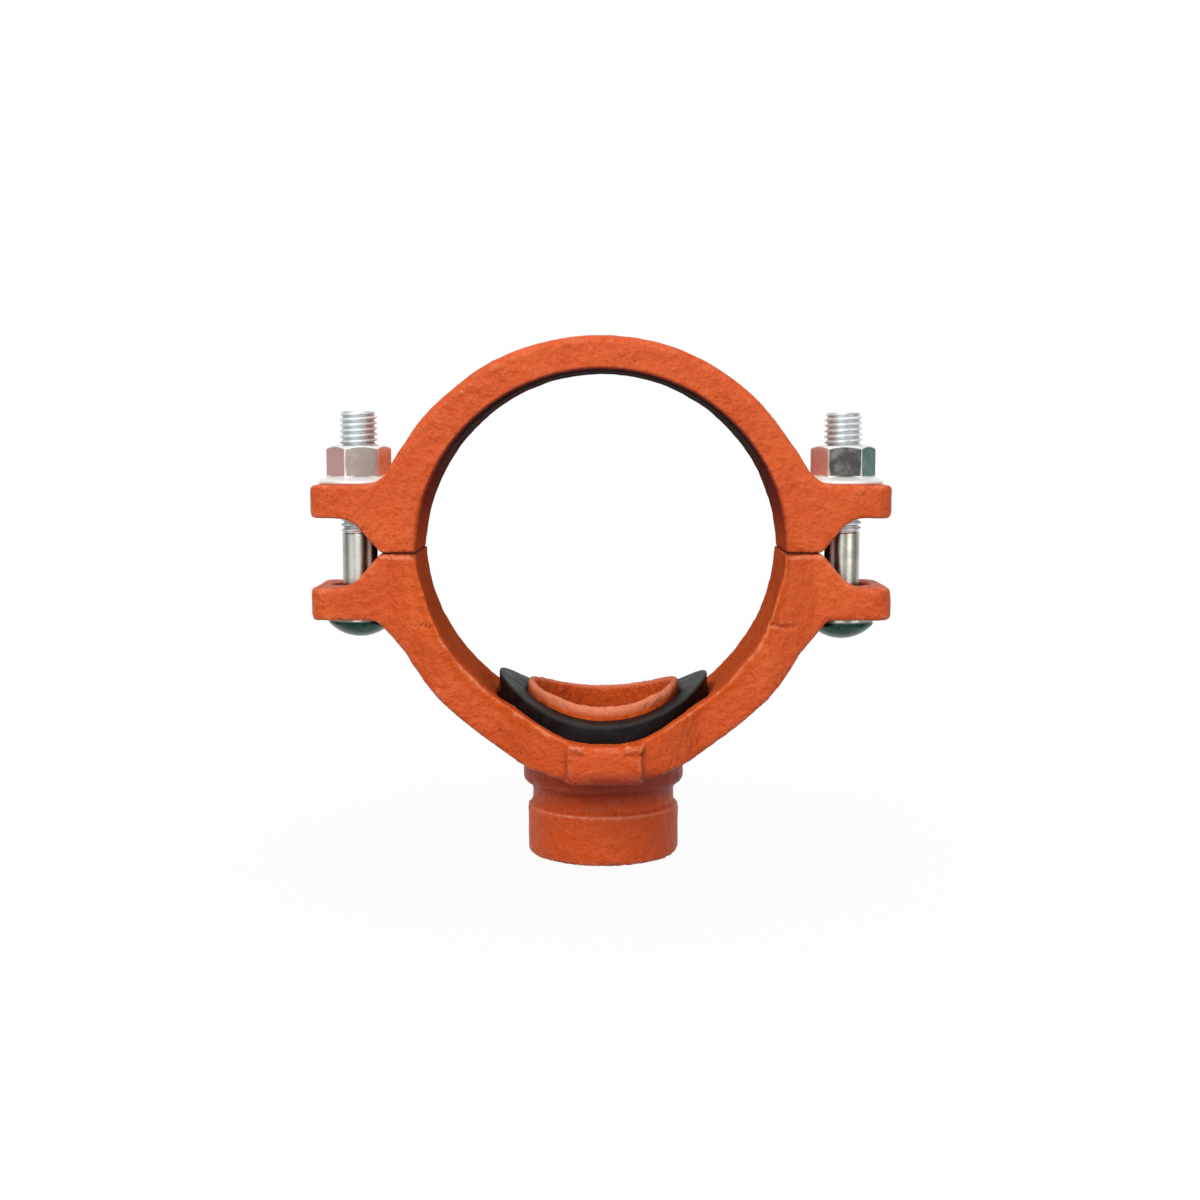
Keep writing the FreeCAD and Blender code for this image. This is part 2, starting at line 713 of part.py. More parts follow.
def make_nut(name, side, turn):
    """A flange nut: a hexagon with chamfered corners on a conical flange, all one piece."""
    body = make_body(name)
    sketch = new_sketch(body, f"{name}_hexagon", "XY_Plane")
    corner = "across_flats / 2 / cos(30)"
    angles = [360 / SIDES_OF_HEXAGON * number for number in range(SIDES_OF_HEXAGON)]
    draw_outline(sketch, [(f"{corner} * cos({angle})", f"{corner} * sin({angle})") for angle in angles])
    hexagon = body.newObject("PartDesign::Pad", f"{name}_hexagon_pad")
    hexagon.Profile = sketch
    bind(hexagon, Length="nut_height")
    revolved(
        body,
        f"{name}_chamfer",
        [
            ("nut_face / 2", "nut_height"),
            ("across_flats", "nut_height - (across_flats - nut_face / 2) * tan(nut_slope)"),
            ("across_flats", "nut_height"),
        ],
        cutting=True,
    )
    inner = "(bolt_diameter / 2 + thread_play)"
    revolved(
        body,
        f"{name}_flange",
        [
            (inner, "0"),
            ("flange_radius", "0"),
            ("flange_radius", "flange_rim"),
            (corner, "flange_rim + flange_slope"),
            (inner, "flange_rim + flange_slope"),
        ],
    )
    sketch = new_sketch(body, f"{name}_hole", "XY_Plane")
    draw_circle(sketch, "0", "0", inner)
    cut_both_ways(body, f"{name}_bore", sketch)
    shift(body, x=f"{side} * {BOLT_X}", z=EAR_Z, turn=turn)
    doc.recompute()
    return body


nodes = [
    make_upper_housing(),
    make_lower_housing(),
    make_gasket(),
    make_bolt("bolt_left", -1),
    make_bolt("bolt_right", 1),
    make_nut("nut_left", -1, "left_nut_turn"),
    make_nut("nut_right", 1, "right_nut_turn"),
]
doc.recompute()

for thing in doc.Objects:
    if "Invalid" in thing.State or "Error" in thing.State:
        raise RuntimeError(f"{thing.Name} failed: {thing.State}")
for node in nodes:
    if node.Shape.isNull() or not node.Shape.isValid() or len(node.Shape.Solids) != 1:
        raise RuntimeError(f"{node.Label} is not one valid solid")

os.makedirs("parts", exist_ok=True)
for node in nodes:
    node.Shape.exportStep(f"parts/{node.Label}.step")
    box = node.Shape.BoundBox
    print(f"{node.Label}: {node.Shape.Volume:.0f} mm3, {box}")
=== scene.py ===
import math

import bmesh
import bpy
import numpy as np
from mathutils import Matrix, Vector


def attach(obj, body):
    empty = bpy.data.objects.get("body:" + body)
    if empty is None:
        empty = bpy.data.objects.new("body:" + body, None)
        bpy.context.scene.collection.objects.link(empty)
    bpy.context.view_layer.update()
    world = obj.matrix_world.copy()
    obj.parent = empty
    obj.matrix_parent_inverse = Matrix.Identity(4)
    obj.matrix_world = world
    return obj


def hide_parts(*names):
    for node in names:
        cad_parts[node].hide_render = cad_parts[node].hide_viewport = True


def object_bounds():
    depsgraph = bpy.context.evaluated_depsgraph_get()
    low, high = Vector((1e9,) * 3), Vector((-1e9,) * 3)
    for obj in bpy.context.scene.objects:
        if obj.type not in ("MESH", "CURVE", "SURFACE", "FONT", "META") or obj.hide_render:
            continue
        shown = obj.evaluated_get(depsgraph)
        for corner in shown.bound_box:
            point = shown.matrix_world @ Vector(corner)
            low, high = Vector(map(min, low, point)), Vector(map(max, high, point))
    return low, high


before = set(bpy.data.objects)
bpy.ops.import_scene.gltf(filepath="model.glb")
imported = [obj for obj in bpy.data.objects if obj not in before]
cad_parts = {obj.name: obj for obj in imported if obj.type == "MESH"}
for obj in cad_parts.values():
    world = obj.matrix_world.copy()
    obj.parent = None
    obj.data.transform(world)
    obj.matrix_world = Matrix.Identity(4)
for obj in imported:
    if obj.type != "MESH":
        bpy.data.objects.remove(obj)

CAD_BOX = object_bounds()

# Mechanical tee: two enamelled castings, a rubber saddle gasket, two zinc-plated track bolts with flange nuts.
# Shapes are worked out in millimetres and made metres when a piece is finished.
MM = 0.001
TAU = 2 * math.pi

# Run bore and castings
BORE = 57.4
OUTER = 68.4
UPPER_CENTRE = -1.35
LOWER_CENTRE = 1.0
LEAN = 0.75
STRAP_SIDE = 17.2
SADDLE_SIDE = 25.2
FLARE = (66.0, 51.0)
BOLT_X = 76.8
EAR_END = 90.6
EAR_INNER = 10.8
EAR_OUTER = 21.0
EAR_CORNER = 5.8
EAR_ROOT = 9.0
FLANK_RUN = 9.06
STRAP_ROOT = 13.0
WEB_OUT = 5.2
WEB_ROOT = 22.0
BOSS = 39.5
BOSS_ROOT = 9.0
BOSS_DROP = 1.0
PAD = (-10.9, 11.5)
PAD_FRONT = 40.6
PAD_HEIGHTS = (-68.1, -56.7)
NOTCH = (-5.6, 6.4)
CREASE_Z = -21.8
STRAP_EDGE = 2.6
PAD_CORNER = 1.6
HOLE = (17.6, 13.0)
SPOT_FACE = 13.4
HEAD_RELIEF = 11.4

# Branch, collar and gasket
BRANCH = 24.15
NECK = 25.6
WATERWAY = 21.3
OUTLET_END = -97.3
SEAT_TOP = -81.42
GROOVE_TOP = -73.47
GROOVE_FLOOR = 22.55
COLLAR = 24.0
COLLAR_CURVE = 47.8
POCKET = 33.9
POCKET_CURVE = 61.5
GASKET = (24.5, 33.5)
GASKET_TOP_CURVE = 51.4
GASKET_FLOOR_CURVE = 61.4
GASKET_TAPER = 0.015
GASKET_FALL = 0.8
GASKET_SWEEP = 1.1
GASKET_TILT = 0.012

# Track bolts and flange nuts, M12 by 1.75
PITCH = 1.75
CREST = 6.0
ROOT = 4.95
SHANK = 5.55
THREAD_PLAY = 0.12
HEAD = 10.2
HEAD_RIM = 1.7
HEAD_DOME = 4.6
OVAL = (16.6, 12.0)
OVAL_HEIGHT = 7.6
NUT_FLAT = 9.0
NUT_CORNER = NUT_FLAT / math.cos(math.pi / 6)
NUT_HEIGHT = 12.0
NUT_FACE = 8.65
NUT_BEVEL = math.tan(math.pi / 6)


# ---------------------------------------------------------------- outlines

def arc(centre, radius, start, end, count=24):
    """Points on a circle about a centre, evenly spaced from one angle to another, in degrees."""
    turn = np.radians(np.linspace(start, end, count))
    return np.column_stack([centre[0] + radius * np.cos(turn), centre[1] + radius * np.sin(turn)])


def mirrored(half):
    """An outline's right half, followed by its mirror image in reverse."""
    return np.vstack([half, half[::-1] * [-1, 1]])


def ear_root_arc():
    """The arc between the pad's slanted flank and the ear: it touches both, and its centre is outside the metal."""
    length = math.hypot(FLANK_RUN, EAR_INNER)
    level = EAR_INNER - EAR_ROOT
    across = OUTER + (EAR_ROOT * length + level * FLANK_RUN) / EAR_INNER
    slope = math.degrees(math.atan2(EAR_INNER, FLANK_RUN))
    return arc((across, level), EAR_ROOT, 90 + slope, 90, 12)


def pad_corner_arc():
    """The rounded corner between the split and the pad's slanted flank: its arc touches both lines."""
    slope = math.degrees(math.atan2(EAR_INNER, FLANK_RUN))
    back = PAD_CORNER * math.tan(math.radians(slope / 2))
    return arc((OUTER - back, PAD_CORNER), PAD_CORNER, 270, 270 + slope, 6)


def ear_end_arcs():
    """The ear's blunt end, with both of its corners rounded."""
    edge = 1.3
    return np.vstack([
        arc((EAR_END - edge, EAR_INNER + edge), edge, 270, 360, 5),
        arc((EAR_END - edge, EAR_OUTER - edge), edge, 0, 90, 5),
    ])


def bore_arc(centre_z, side):
    """The bore from the left pad to the right one, over the top where side is 1 and below where it is -1."""
    start = math.degrees(math.asin(side * -centre_z / BORE))
    return arc((0, centre_z), BORE, side * (180 - start), side * start, 120)


def upper_outline():
    """The strap half in the XZ plane: flank, ear, root arc that touches ear and strap, outer arc, bore."""
    level = EAR_OUTER + STRAP_ROOT
    across = math.sqrt((OUTER + STRAP_ROOT) ** 2 - (level - UPPER_CENTRE) ** 2)
    meets = math.degrees(math.atan2(level - UPPER_CENTRE, across))
    half = np.vstack([
        pad_corner_arc(),
        ear_root_arc(),
        ear_end_arcs(),
        arc((across, level), STRAP_ROOT, 270, 180 + meets, 14),
        arc((0, UPPER_CENTRE), OUTER, meets, 89.5, 60),
    ])
    return np.vstack([mirrored(half), bore_arc(UPPER_CENTRE, 1)])


def lower_outline():
    """The saddle half in the XZ plane: flank, ear, web at 45 degrees, long root onto the outer arc, bore. Its underside
    sags under the boss and waves a little beside it."""
    strap_x = math.sqrt(OUTER**2 - (EAR_OUTER + LOWER_CENTRE) ** 2)
    web_x = strap_x + WEB_OUT
    reach = web_x + EAR_OUTER + WEB_ROOT * math.sqrt(2)
    half_sum = (LOWER_CENTRE - reach) / 2
    product = (reach**2 + LOWER_CENTRE**2 - (OUTER + WEB_ROOT) ** 2) / 2
    level = half_sum + math.sqrt(half_sum**2 - product)
    across = reach + level
    meets = math.degrees(math.atan2(level - LOWER_CENTRE, across))
    half = np.vstack([
        pad_corner_arc() * [1, -1],
        ear_root_arc() * [1, -1],
        ear_end_arcs() * [1, -1],
        [[web_x, -EAR_OUTER]],
        arc((across, level), WEB_ROOT, 135, 180 + meets, 14),
        arc((0, LOWER_CENTRE), OUTER, meets, -89.5, 60),
    ])
    across, below = half[:, 0], half[:, 1] < -EAR_OUTER
    half[:, 1] += below * (0.8 * hump(across, 44, 9) - 0.6 * hump(across, 61, 5) - BOSS_DROP * swell(38, 25, across))
    return np.vstack([mirrored(half), bore_arc(LOWER_CENTRE, -1)])


def four_ways(quarter):
    """A plan outline from its quarter between +X and +Y."""
    half = mirrored(quarter)
    return np.vstack([half, half[::-1] * [1, -1]])


def upper_plan():
    """The strap half from above: a long rectangle with rounded ear corners."""
    return four_ways(arc((EAR_END - EAR_CORNER, STRAP_SIDE - EAR_CORNER), EAR_CORNER, 0, 90, 12))


def lower_plan():
    """The saddle half from above: ear corner, flare, saddle side, root arc and the round boss."""
    level = SADDLE_SIDE + BOSS_ROOT
    across = math.sqrt((BOSS + BOSS_ROOT) ** 2 - level**2)
    meets = math.degrees(math.atan2(level, across))
    return four_ways(np.vstack([
        arc((EAR_END - EAR_CORNER, STRAP_SIDE - EAR_CORNER), EAR_CORNER, 0, 90, 12),
        [[FLARE[0], STRAP_SIDE], [FLARE[1], SADDLE_SIDE]],
        arc((across, level), BOSS_ROOT, 270, 180 + meets, 10),
        arc((0, 0), BOSS, meets, 89.5, 30),
    ]))


def slot_outline(x, length, width):
    """An oval along X about a bolt's axis: two half circles and the straight lines between them."""
    flat = (length - width) / 2
    return np.vstack([arc((x + flat, 0), width / 2, -90, 90), arc((x - flat, 0), width / 2, 90, 270)])


def from_run(points, centre_z=0.0):
    """Distance from an axis along the run pipe at a height."""
    return np.hypot(points[:, 0], points[:, 2] - centre_z)


def from_upright(points, x=0.0):
    """Distance from an upright axis in the middle plane at x."""
    return np.hypot(points[:, 0] - x, points[:, 1])


def run_curve(x, radius):
    """Height of a cylinder along the run pipe, below its axis, at the distance x from the middle plane."""
    return LOWER_CENTRE - np.sqrt(np.clip(radius**2 - np.square(x), 0, None))


# ---------------------------------------------------------------- meshes

def shell(name, points, faces):
    """Makes a closed mesh of points and faces, merges its doubles and turns its faces outwards."""
    mesh = bpy.data.meshes.new(name)
    mesh.from_pydata(np.asarray(points).tolist(), [], faces)
    work = bmesh.new()
    work.from_mesh(mesh)
    bmesh.ops.remove_doubles(work, verts=work.verts, dist=1e-4)
    bmesh.ops.recalc_face_normals(work, faces=work.faces)
    work.to_mesh(mesh)
    work.free()
    thing = bpy.data.objects.new(name, mesh)
    bpy.context.scene.collection.objects.link(thing)
    return thing


def prism(name, outline, axis, low, high):
    """A closed outline carried straight along an axis from low to high, with a flat face at either end."""
    count = len(outline)
    points = np.insert(np.vstack([outline, outline]), axis, np.repeat([low, high], count), axis=1)
    first = np.arange(count)
    following = np.roll(first, -1)
    sides = np.column_stack([first, following, following + count, first + count]).tolist()
    return shell(name, points, sides + [first.tolist(), (first + count).tolist()])


def surface(name, grid, ring=False):
    """Joins a grid of points into quads. Columns run round and close, and so do rows where ring is true."""
    rows, columns = grid.shape[:2]
    number = np.arange(rows * columns).reshape(rows, columns)
    if ring:
        number = np.vstack([number, number[:1]])
    number = np.column_stack([number, number[:, 0]])
    quads = np.stack([number[:-1, :-1], number[:-1, 1:], number[1:, 1:], number[1:, :-1]], axis=-1)
    return shell(name, grid.reshape(-1, 3), quads.reshape(-1, 4).tolist())


def turned(radius, height, columns, x=0.0, start=0.0):
    """A grid of rows at given radii and heights, each a number or one for each column, turned about an upright
    axis at x from a starting angle a: a point is (x + radius cos a, radius sin a, height)."""
    angle = start + np.linspace(0, TAU, columns, endpoint=False)
    radius = np.broadcast_to(np.asarray(radius, float).reshape(len(radius), -1), (len(radius), columns))
    height = np.broadcast_to(np.asarray(height, float).reshape(len(height), -1), (len(height), columns))
    return np.stack([x + radius * np.cos(angle), radius * np.sin(angle), height], axis=-1)


def settle(thing):
    """Gives an object the mesh that its modifiers lead to, and takes them off."""
    graph = bpy.context.evaluated_depsgraph_get()
    mesh = bpy.data.meshes.new_from_object(thing.evaluated_get(graph))
    thing.modifiers.clear()
    thing.data = mesh


def carve(thing, steps):
    """Joins, cuts or trims a closed shell with other closed shells, one after the other."""
    for number, (operation, tool) in enumerate(steps):
        step = thing.modifiers.new(f"step_{number}", "BOOLEAN")
        step.operation = operation
        step.solver = "MANIFOLD"
        step.object = tool
    settle(thing)
    for operation, tool in steps:
        bpy.data.objects.remove(tool)


def soften(thing, grain, rounds):
    """Divides a closed shell evenly, as fine as grain, and rounds its edges and corners as a casting's are. The shell
    is turned askew for it, so that no edge runs along the grid and comes out in steps."""
    askew = Matrix.Rotation(math.radians(38), 4, (1.0, 1.3, 0.8))
    thing.data.transform(askew)
    even = thing.modifiers.new("even", "REMESH")
    even.mode = "VOXEL"
    even.voxel_size = grain
    melt = thing.modifiers.new("melt", "SMOOTH")
    melt.factor = 0.5
    melt.iterations = rounds
    settle(thing)
    thing.data.transform(askew.inverted())
    points, _, ends = read(thing.data)
    write(thing.data, even_out(points, ends, np.ones(len(points)), 6))


def read(mesh):
    """A mesh's points, its normals and the two ends of its edges, as arrays."""
    points = np.empty(len(mesh.vertices) * 3)
    mesh.vertices.foreach_get("co", points)
    normals = np.empty(len(mesh.vertices) * 3)
    mesh.vertex_normals.foreach_get("vector", normals)
    ends = np.empty(len(mesh.edges) * 2, int)
    mesh.edges.foreach_get("vertices", ends)
    return points.reshape(-1, 3), normals.reshape(-1, 3), ends.reshape(-1, 2)


def write(mesh, points):
    """Puts an array of points back into a mesh."""
    mesh.vertices.foreach_set("co", points.ravel())
    mesh.update()


# ---------------------------------------------------------------- sand-cast skin

LATTICE = np.random.default_rng(11).uniform(-1, 1, (48, 48, 48))
SPECKS = np.random.default_rng(12).uniform(0.3, 0.7, (48, 48, 48, 3))


def swell(low, high, value):
    """0 below low, 1 above high and an S-shaped rise between them."""
    part = np.clip((value - low) / (high - low), 0, 1)
    return part * part * (3 - 2 * part)


def hump(value, middle, width):
    """A bell curve of height 1."""
    return np.exp(-np.square((value - middle) / width))


def lattice_noise(points, size, shift=0):
    """Smooth noise from -1 to 1: random heights on a cubic lattice, blended between the eight corners round a
    point with S-shaped weights."""
    cell = points / size + shift
    base = np.floor(cell).astype(int)
    near = swell(0, 1, cell - base)
    total = np.zeros(len(points))
    for corner in np.ndindex(2, 2, 2):
        place = (base + corner) % len(LATTICE)
        weight = np.prod(np.where(corner, near, 1 - near), axis=1)
        total += weight * LATTICE[tuple(place.T)]
    return total


def blow_holes(points, size, radius, share):
    """Round hollows of depth 1 and the given radius, at most one in each cell of a lattice."""
    base = np.floor(points / size).astype(int)
    place = tuple((base % len(LATTICE)).T)
    distance = np.linalg.norm(points - (base + SPECKS[place]) * size, axis=1)
    return np.square(np.clip(1 - np.square(distance / radius), 0, 1)) * (LATTICE[place] > 1 - 2 * share)


def cast_skin(points, normals):
    """Moves the points along their normals: broad waves of the mould, sand grain, and a few blow holes. It fades
    out at the split, where the two pads touch."""
    waves = 0.12 * lattice_noise(points, 9.0) + 0.08 * lattice_noise(points, 4.0, 7)
    grain = 0.08 * lattice_noise(points, 2.2, 3)
    holes = 0.30 * blow_holes(points, 7.0, 1.3, 0.25)
    fade = swell(0.1, 2.0, np.abs(points[:, 2]))
    return points + normals * (fade * (waves + grain - holes))[:, None]


def neighbours_mean(points, ends):
    """The middle of each point's neighbours."""
    count = np.bincount(ends.ravel(), minlength=len(points))
    return np.column_stack([
        np.bincount(ends[:, 0], points[ends[:, 1], axis], len(points))
        + np.bincount(ends[:, 1], points[ends[:, 0], axis], len(points))
        for axis in range(3)
    ]) / count[:, None]


def bulge(mesh):
    """How far each point stands out from the mean of its neighbours, along its normal: edges are above 0."""
    points, normals, ends = read(mesh)
    return np.sum((points - neighbours_mean(points, ends)) * normals, axis=1)


def even_out(points, ends, where, rounds):
    """Takes small steps off a surface where told, and keeps its size: each round draws the points in towards their
    neighbours and then back out a little further."""
    for factor in (0.5, -0.53) * rounds:
        points = points + (factor * where)[:, None] * (neighbours_mean(points, ends) - points)
    return points


def note(mesh, name, values):
    """Stores one number for each point, for a finish to read."""
    mesh.attributes.new(name, "FLOAT", "POINT").data.foreach_set("value", values)


def mark_skin(mesh, grain, centre_z):
    """Stores what the enamel needs to know of each point: how sharply the skin bends, from -1 in a hollow to 1 on an
    edge, and from 0 to 1 where it lies inside the bore, where painted shade darkens the bore's roof, the bolt holes,
    the neck under the boss and the gap at the joint, where painted highlights lie along edges, where painted glints
    speck the waterway, and how low it lies, for painted shade that deepens downwards."""
    points = read(mesh)[0]
    x, y, z = points.T
    bend = np.clip(bulge(mesh) / (0.18 * grain), -1, 1)
    inside = swell(BORE + 1.6, BORE + 0.4, from_run(points, centre_z))
    flat = (HOLE[0] - HOLE[1]) / 2
    # Painted shade in the bolt holes and on the neck under the boss, deeper towards the right.
    to_hole = np.hypot(np.clip(np.abs(np.abs(x) - BOLT_X) - flat, 0, None), y) - HOLE[1] / 2
    under_pad = swell(-63, -67, z) * swell(-82, -74, z) * (0.35 + 0.65 * swell(-16, 4, x))
    # Painted highlights on the pad's top edge at the split, the saddle's front edge, the collar's rim and the seat's
    # top edge.
    lip = 0.8 * hump(z, -1.3, 0.5) * swell(-16.4, -17.0, y) * swell(57, 58, np.abs(x))
    front_edge = 0.8 * swell(0.3, 0.7, bend) * (from_run(points, LOWER_CENTRE) < BORE + 1)
    front_edge *= swell(-22, -24, y) * swell(-6, -14, z)
    reach = from_upright(points, LEAN)
    top = run_curve(x - LEAN, COLLAR_CURVE)
    outer = swell(WATERWAY + 0.6, COLLAR - 0.3, reach)
    rim = swell(top - 1.6 - 2.8 * outer, top - 0.4 - 1.0 * outer, z)
    rim *= swell(COLLAR + 1.0, COLLAR + 0.3, reach) * (z < 0)
    seat = 0.8 * hump(z, SEAT_TOP - 0.3, 0.5) * swell(BRANCH - 1.0, BRANCH - 0.3, reach)
    note(mesh, "bend", bend)
    note(mesh, "inside", inside)
    # Painted shade on the bore's roof.
    note(mesh, "painted_roof_shade", inside * swell(-4, 40, z))
    note(mesh, "painted_shade", np.maximum(swell(0.9, 0.1, to_hole), under_pad))
    # Painted shade in the gap where the pads meet.
    note(mesh, "painted_gap_shade", swell(0.60, 0.2, np.abs(z)) * swell(56, 58, np.abs(x)))
    note(mesh, "painted_edge_highlight", np.maximum.reduce([lip, front_edge, rim, seat]))
    # Painted glints in the waterway.
    note(mesh, "painted_glints", swell(WATERWAY + 0.6, WATERWAY + 0.2, reach) * swell(-66, -58, z) * (z < 0))
    # Painted shade that deepens towards the bottom.
    note(mesh, "low", swell(-46, -66, z))


# ---------------------------------------------------------------- castings

def lean(points):
    """The saddle half's slight lean to the right towards its outlet, as it was moulded, and a fuller right web."""
    moved = points.copy()
    moved[:, 0] += LEAN * swell(-8, -42, points[:, 2])
    moved[:, 0] += 0.7 * hump(points[:, 0], 67, 6) * hump(points[:, 2], -28, 7)
    return moved


def round_strap_edge(points):
    """Rounds the strap's outer edges: where a point is less than the edge's radius in from both the strap's back and
    its side, it moves straight towards the radius's centre, onto the radius."""
    reach = from_run(points, UPPER_CENTRE)
    off = np.abs(points[:, 0])
    away = np.column_stack([reach - OUTER, np.abs(points[:, 1]) - STRAP_SIDE]) + STRAP_EDGE
    corner = (away > 0).all(axis=1) & (off < 66)
    scale = np.where(corner, STRAP_EDGE / np.maximum(np.linalg.norm(away, axis=1), STRAP_EDGE), 1.0)
    change = away * ((scale - 1) * swell(66, 54, off))[:, None]
    outwards = 1 + change[:, 0] / reach
    moved = points.copy()
    moved[:, 0] *= outwards
    moved[:, 1] += np.sign(points[:, 1]) * change[:, 1]
    moved[:, 2] = UPPER_CENTRE + (points[:, 2] - UPPER_CENTRE) * outwards
    return moved


def raise_front_edge(points):
    """The saddle's front edge stands about two millimetres further in than the bore behind it, less towards the
    split and not at all above the pad. Beside the gasket it only rises, so that its pocket stays clear."""
    reach = from_run(points, LOWER_CENTRE)
    off = np.abs(points[:, 0])
    step = 2.6 * swell(-13, -21, points[:, 1]) * swell(BORE + 5, BORE + 0.5, reach)
    step *= swell(8, 27, off) * (1 - 0.45 * swell(34, 50, off)) * (0.4 + 0.6 * swell(-2, -14, points[:, 2]))
    moved = points.copy()
    moved[:, 0] -= points[:, 0] / reach * step * swell(34, 44, off)
    moved[:, 2] -= (points[:, 2] - LOWER_CENTRE) / reach * step
    return moved


def warp_strap(points, normals):
    """What sets the strap's casting apart from its pattern, by the angle round the run: rougher skin at its upper left,
    where its back is also thicker and its bore fuller, and edges that stand out beside the nuts."""
    angle = np.degrees(np.arctan2(points[:, 2], points[:, 0]))
    radius = from_run(points)
    rough = hump(angle, 132, 24) * swell(0.5, 0.8, -normals[:, 1]) * swell(58, 60, radius) * swell(67, 64, radius)
    rough *= 0.20 * lattice_noise(points, 1.7, 5) + 0.12 * lattice_noise(points, 3.4, 2)
    moved = points + normals * rough[:, None]
    out = (1.6 * hump(angle, 146, 12) + 0.6 * hump(angle, 122, 14)) * swell(60, 66, radius)
    out -= 0.45 * hump(angle, 140, 32) * swell(64, 60, radius)
    ear_side = 1.7 * hump(angle, 157, 5) + 0.9 * hump(angle, 24, 5)
    out += ear_side * swell(60, 66, radius) * swell(13, 14.5, np.abs(moved[:, 1]))
    moved[:, 0] += out * np.cos(np.radians(angle))
    moved[:, 2] += out * np.sin(np.radians(angle))
    return moved


def make_upper_housing():
    """The strap half: its outline carried across, trimmed to its plan, with holes and spot faces cut."""
    grain = 0.70
    housing = prism("strap_casting", upper_outline(), 1, -STRAP_SIDE, STRAP_SIDE)
    steps = [("INTERSECT", prism("plan", upper_plan(), 2, -1, 80))]
    for x in (-BOLT_X, BOLT_X):
        steps.append(("DIFFERENCE", prism("hole", slot_outline(x, *HOLE), 2, 5, 30)))
        steps.append(("DIFFERENCE", prism("seat", arc((x, 0), SPOT_FACE, 0, 352.5, 48), 2, EAR_OUTER, 40)))
    carve(housing, steps)
    soften(housing, grain, 13)
    write(housing.data, round_strap_edge(read(housing.data)[0]))
    points, normals, _ = read(housing.data)
    write(housing.data, warp_strap(cast_skin(points, normals), normals))
    mark_skin(housing.data, grain, UPPER_CENTRE)
    return housing


def outlet_rows():
    """The outlet's outline from the boss down: neck, groove with a slanted upper flank, seat, end chamfer."""
    return np.array([
        (15, -60), (NECK, -60), (NECK, GROOVE_TOP), (GROOVE_FLOOR, GROOVE_TOP - 2.0), (GROOVE_FLOOR, SEAT_TOP),
        (BRANCH, SEAT_TOP), (BRANCH, OUTLET_END + 0.8), (BRANCH - 0.8, OUTLET_END), (15, OUTLET_END),
    ])


def collar_shell():
    """The locating collar: a tube whose rim follows the run's curve, rounded over from outside to inside."""
    columns = 120
    angle = np.linspace(0, TAU, columns, endpoint=False)
    half_wall = (COLLAR - WATERWAY) / 2
    over = np.linspace(0, math.pi, 9)
    radius = np.concatenate([[COLLAR], (COLLAR + WATERWAY) / 2 + half_wall * np.cos(over), [WATERWAY]])
    drop = 1.3 * (1 - np.sin(over))
    rim = run_curve(np.outer(radius, np.cos(angle)), COLLAR_CURVE)
    rim[1:-1] -= drop[:, None]
    rim[[0, -1]] = -62
    return surface("collar", turned(radius, rim, columns), ring=True)


def pocket_shell():
    """The gasket's pocket: round from above, with a floor that follows the run's curve."""
    columns = 96
    angle = np.linspace(0, TAU, columns, endpoint=False)
    radius = np.concatenate([[0, POCKET], np.linspace(POCKET, 0, 24)])
    floor = run_curve(np.outer(radius, np.cos(angle)), POCKET_CURVE)
    floor[:2] = -20
    return surface("pocket", turned(radius, floor, columns))


def pad_outline():
    """The flat pad on the boss's front and back, with slightly rounded corners."""
    edge = 0.6
    left, right = PAD[0] + edge, PAD[1] - edge
    deep = PAD_FRONT - edge
    return np.vstack([
        arc((right, deep), edge, 0, 90, 4), arc((left, deep), edge, 90, 180, 4),
        arc((left, -deep), edge, 180, 270, 4), arc((right, -deep), edge, 270, 360, 4),
    ])


def notch_outline():
    """The shallow gap that the mould left in the bore's front edge, above the pad."""
    return np.array([(NOTCH[0], -45), (NOTCH[1], -45), (NOTCH[1] - 1, -30), (NOTCH[0] + 1, -30)])


def crease_saddle(points, normals):
    """A crease that the mould's joint left on either side of the saddle, above the flare and deeper on the right."""
    off = np.abs(points[:, 0])
    wander = CREASE_Z + 0.6 * lattice_noise(points, 3.0, 9)
    depth = 0.7 * hump(points[:, 2], wander, 0.6) * swell(52, 53.5, off)
    depth *= (0.7 + 0.3 * np.sign(points[:, 0])) * swell(60.5, 58.5, off) * swell(0.5, 0.8, np.abs(normals[:, 1]))
    return points - normals * depth[:, None]


def leave_flash(points, normals):
    """Ragged flash along the bore's front edge, above either upper corner of the pad."""
    x, y, z = points.T
    ragged = 0.5 * lattice_noise(points, 2.0, 4)
    nub = swell(-5.2, -6.4, x + ragged) * swell(-11.2, -9.8, x)
    nub += swell(5.6, 7.2, x + ragged) * swell(13.4, 12.0, x)
    nub *= swell(-36, -38, y)
    proud = 0.6 * hump(z, -57.0 + ragged, 0.9) - 0.4 * hump(z, -58.9 + ragged, 0.6)
    return points + normals * (nub * proud)[:, None]


def roughen_waterway(points, normals):
    """The core's coarse sand, on the waterway's wall below the collar's rim."""
    within = swell(WATERWAY + 0.8, WATERWAY + 0.2, from_upright(points))
    within *= swell(-1.5, -4, points[:, 2] - run_curve(points[:, 0], COLLAR_CURVE))
    sand = 0.22 * lattice_noise(points, 1.8, 6) + 0.14 * lattice_noise(points, 4.5, 8)
    return points + normals * (within * sand)[:, None]


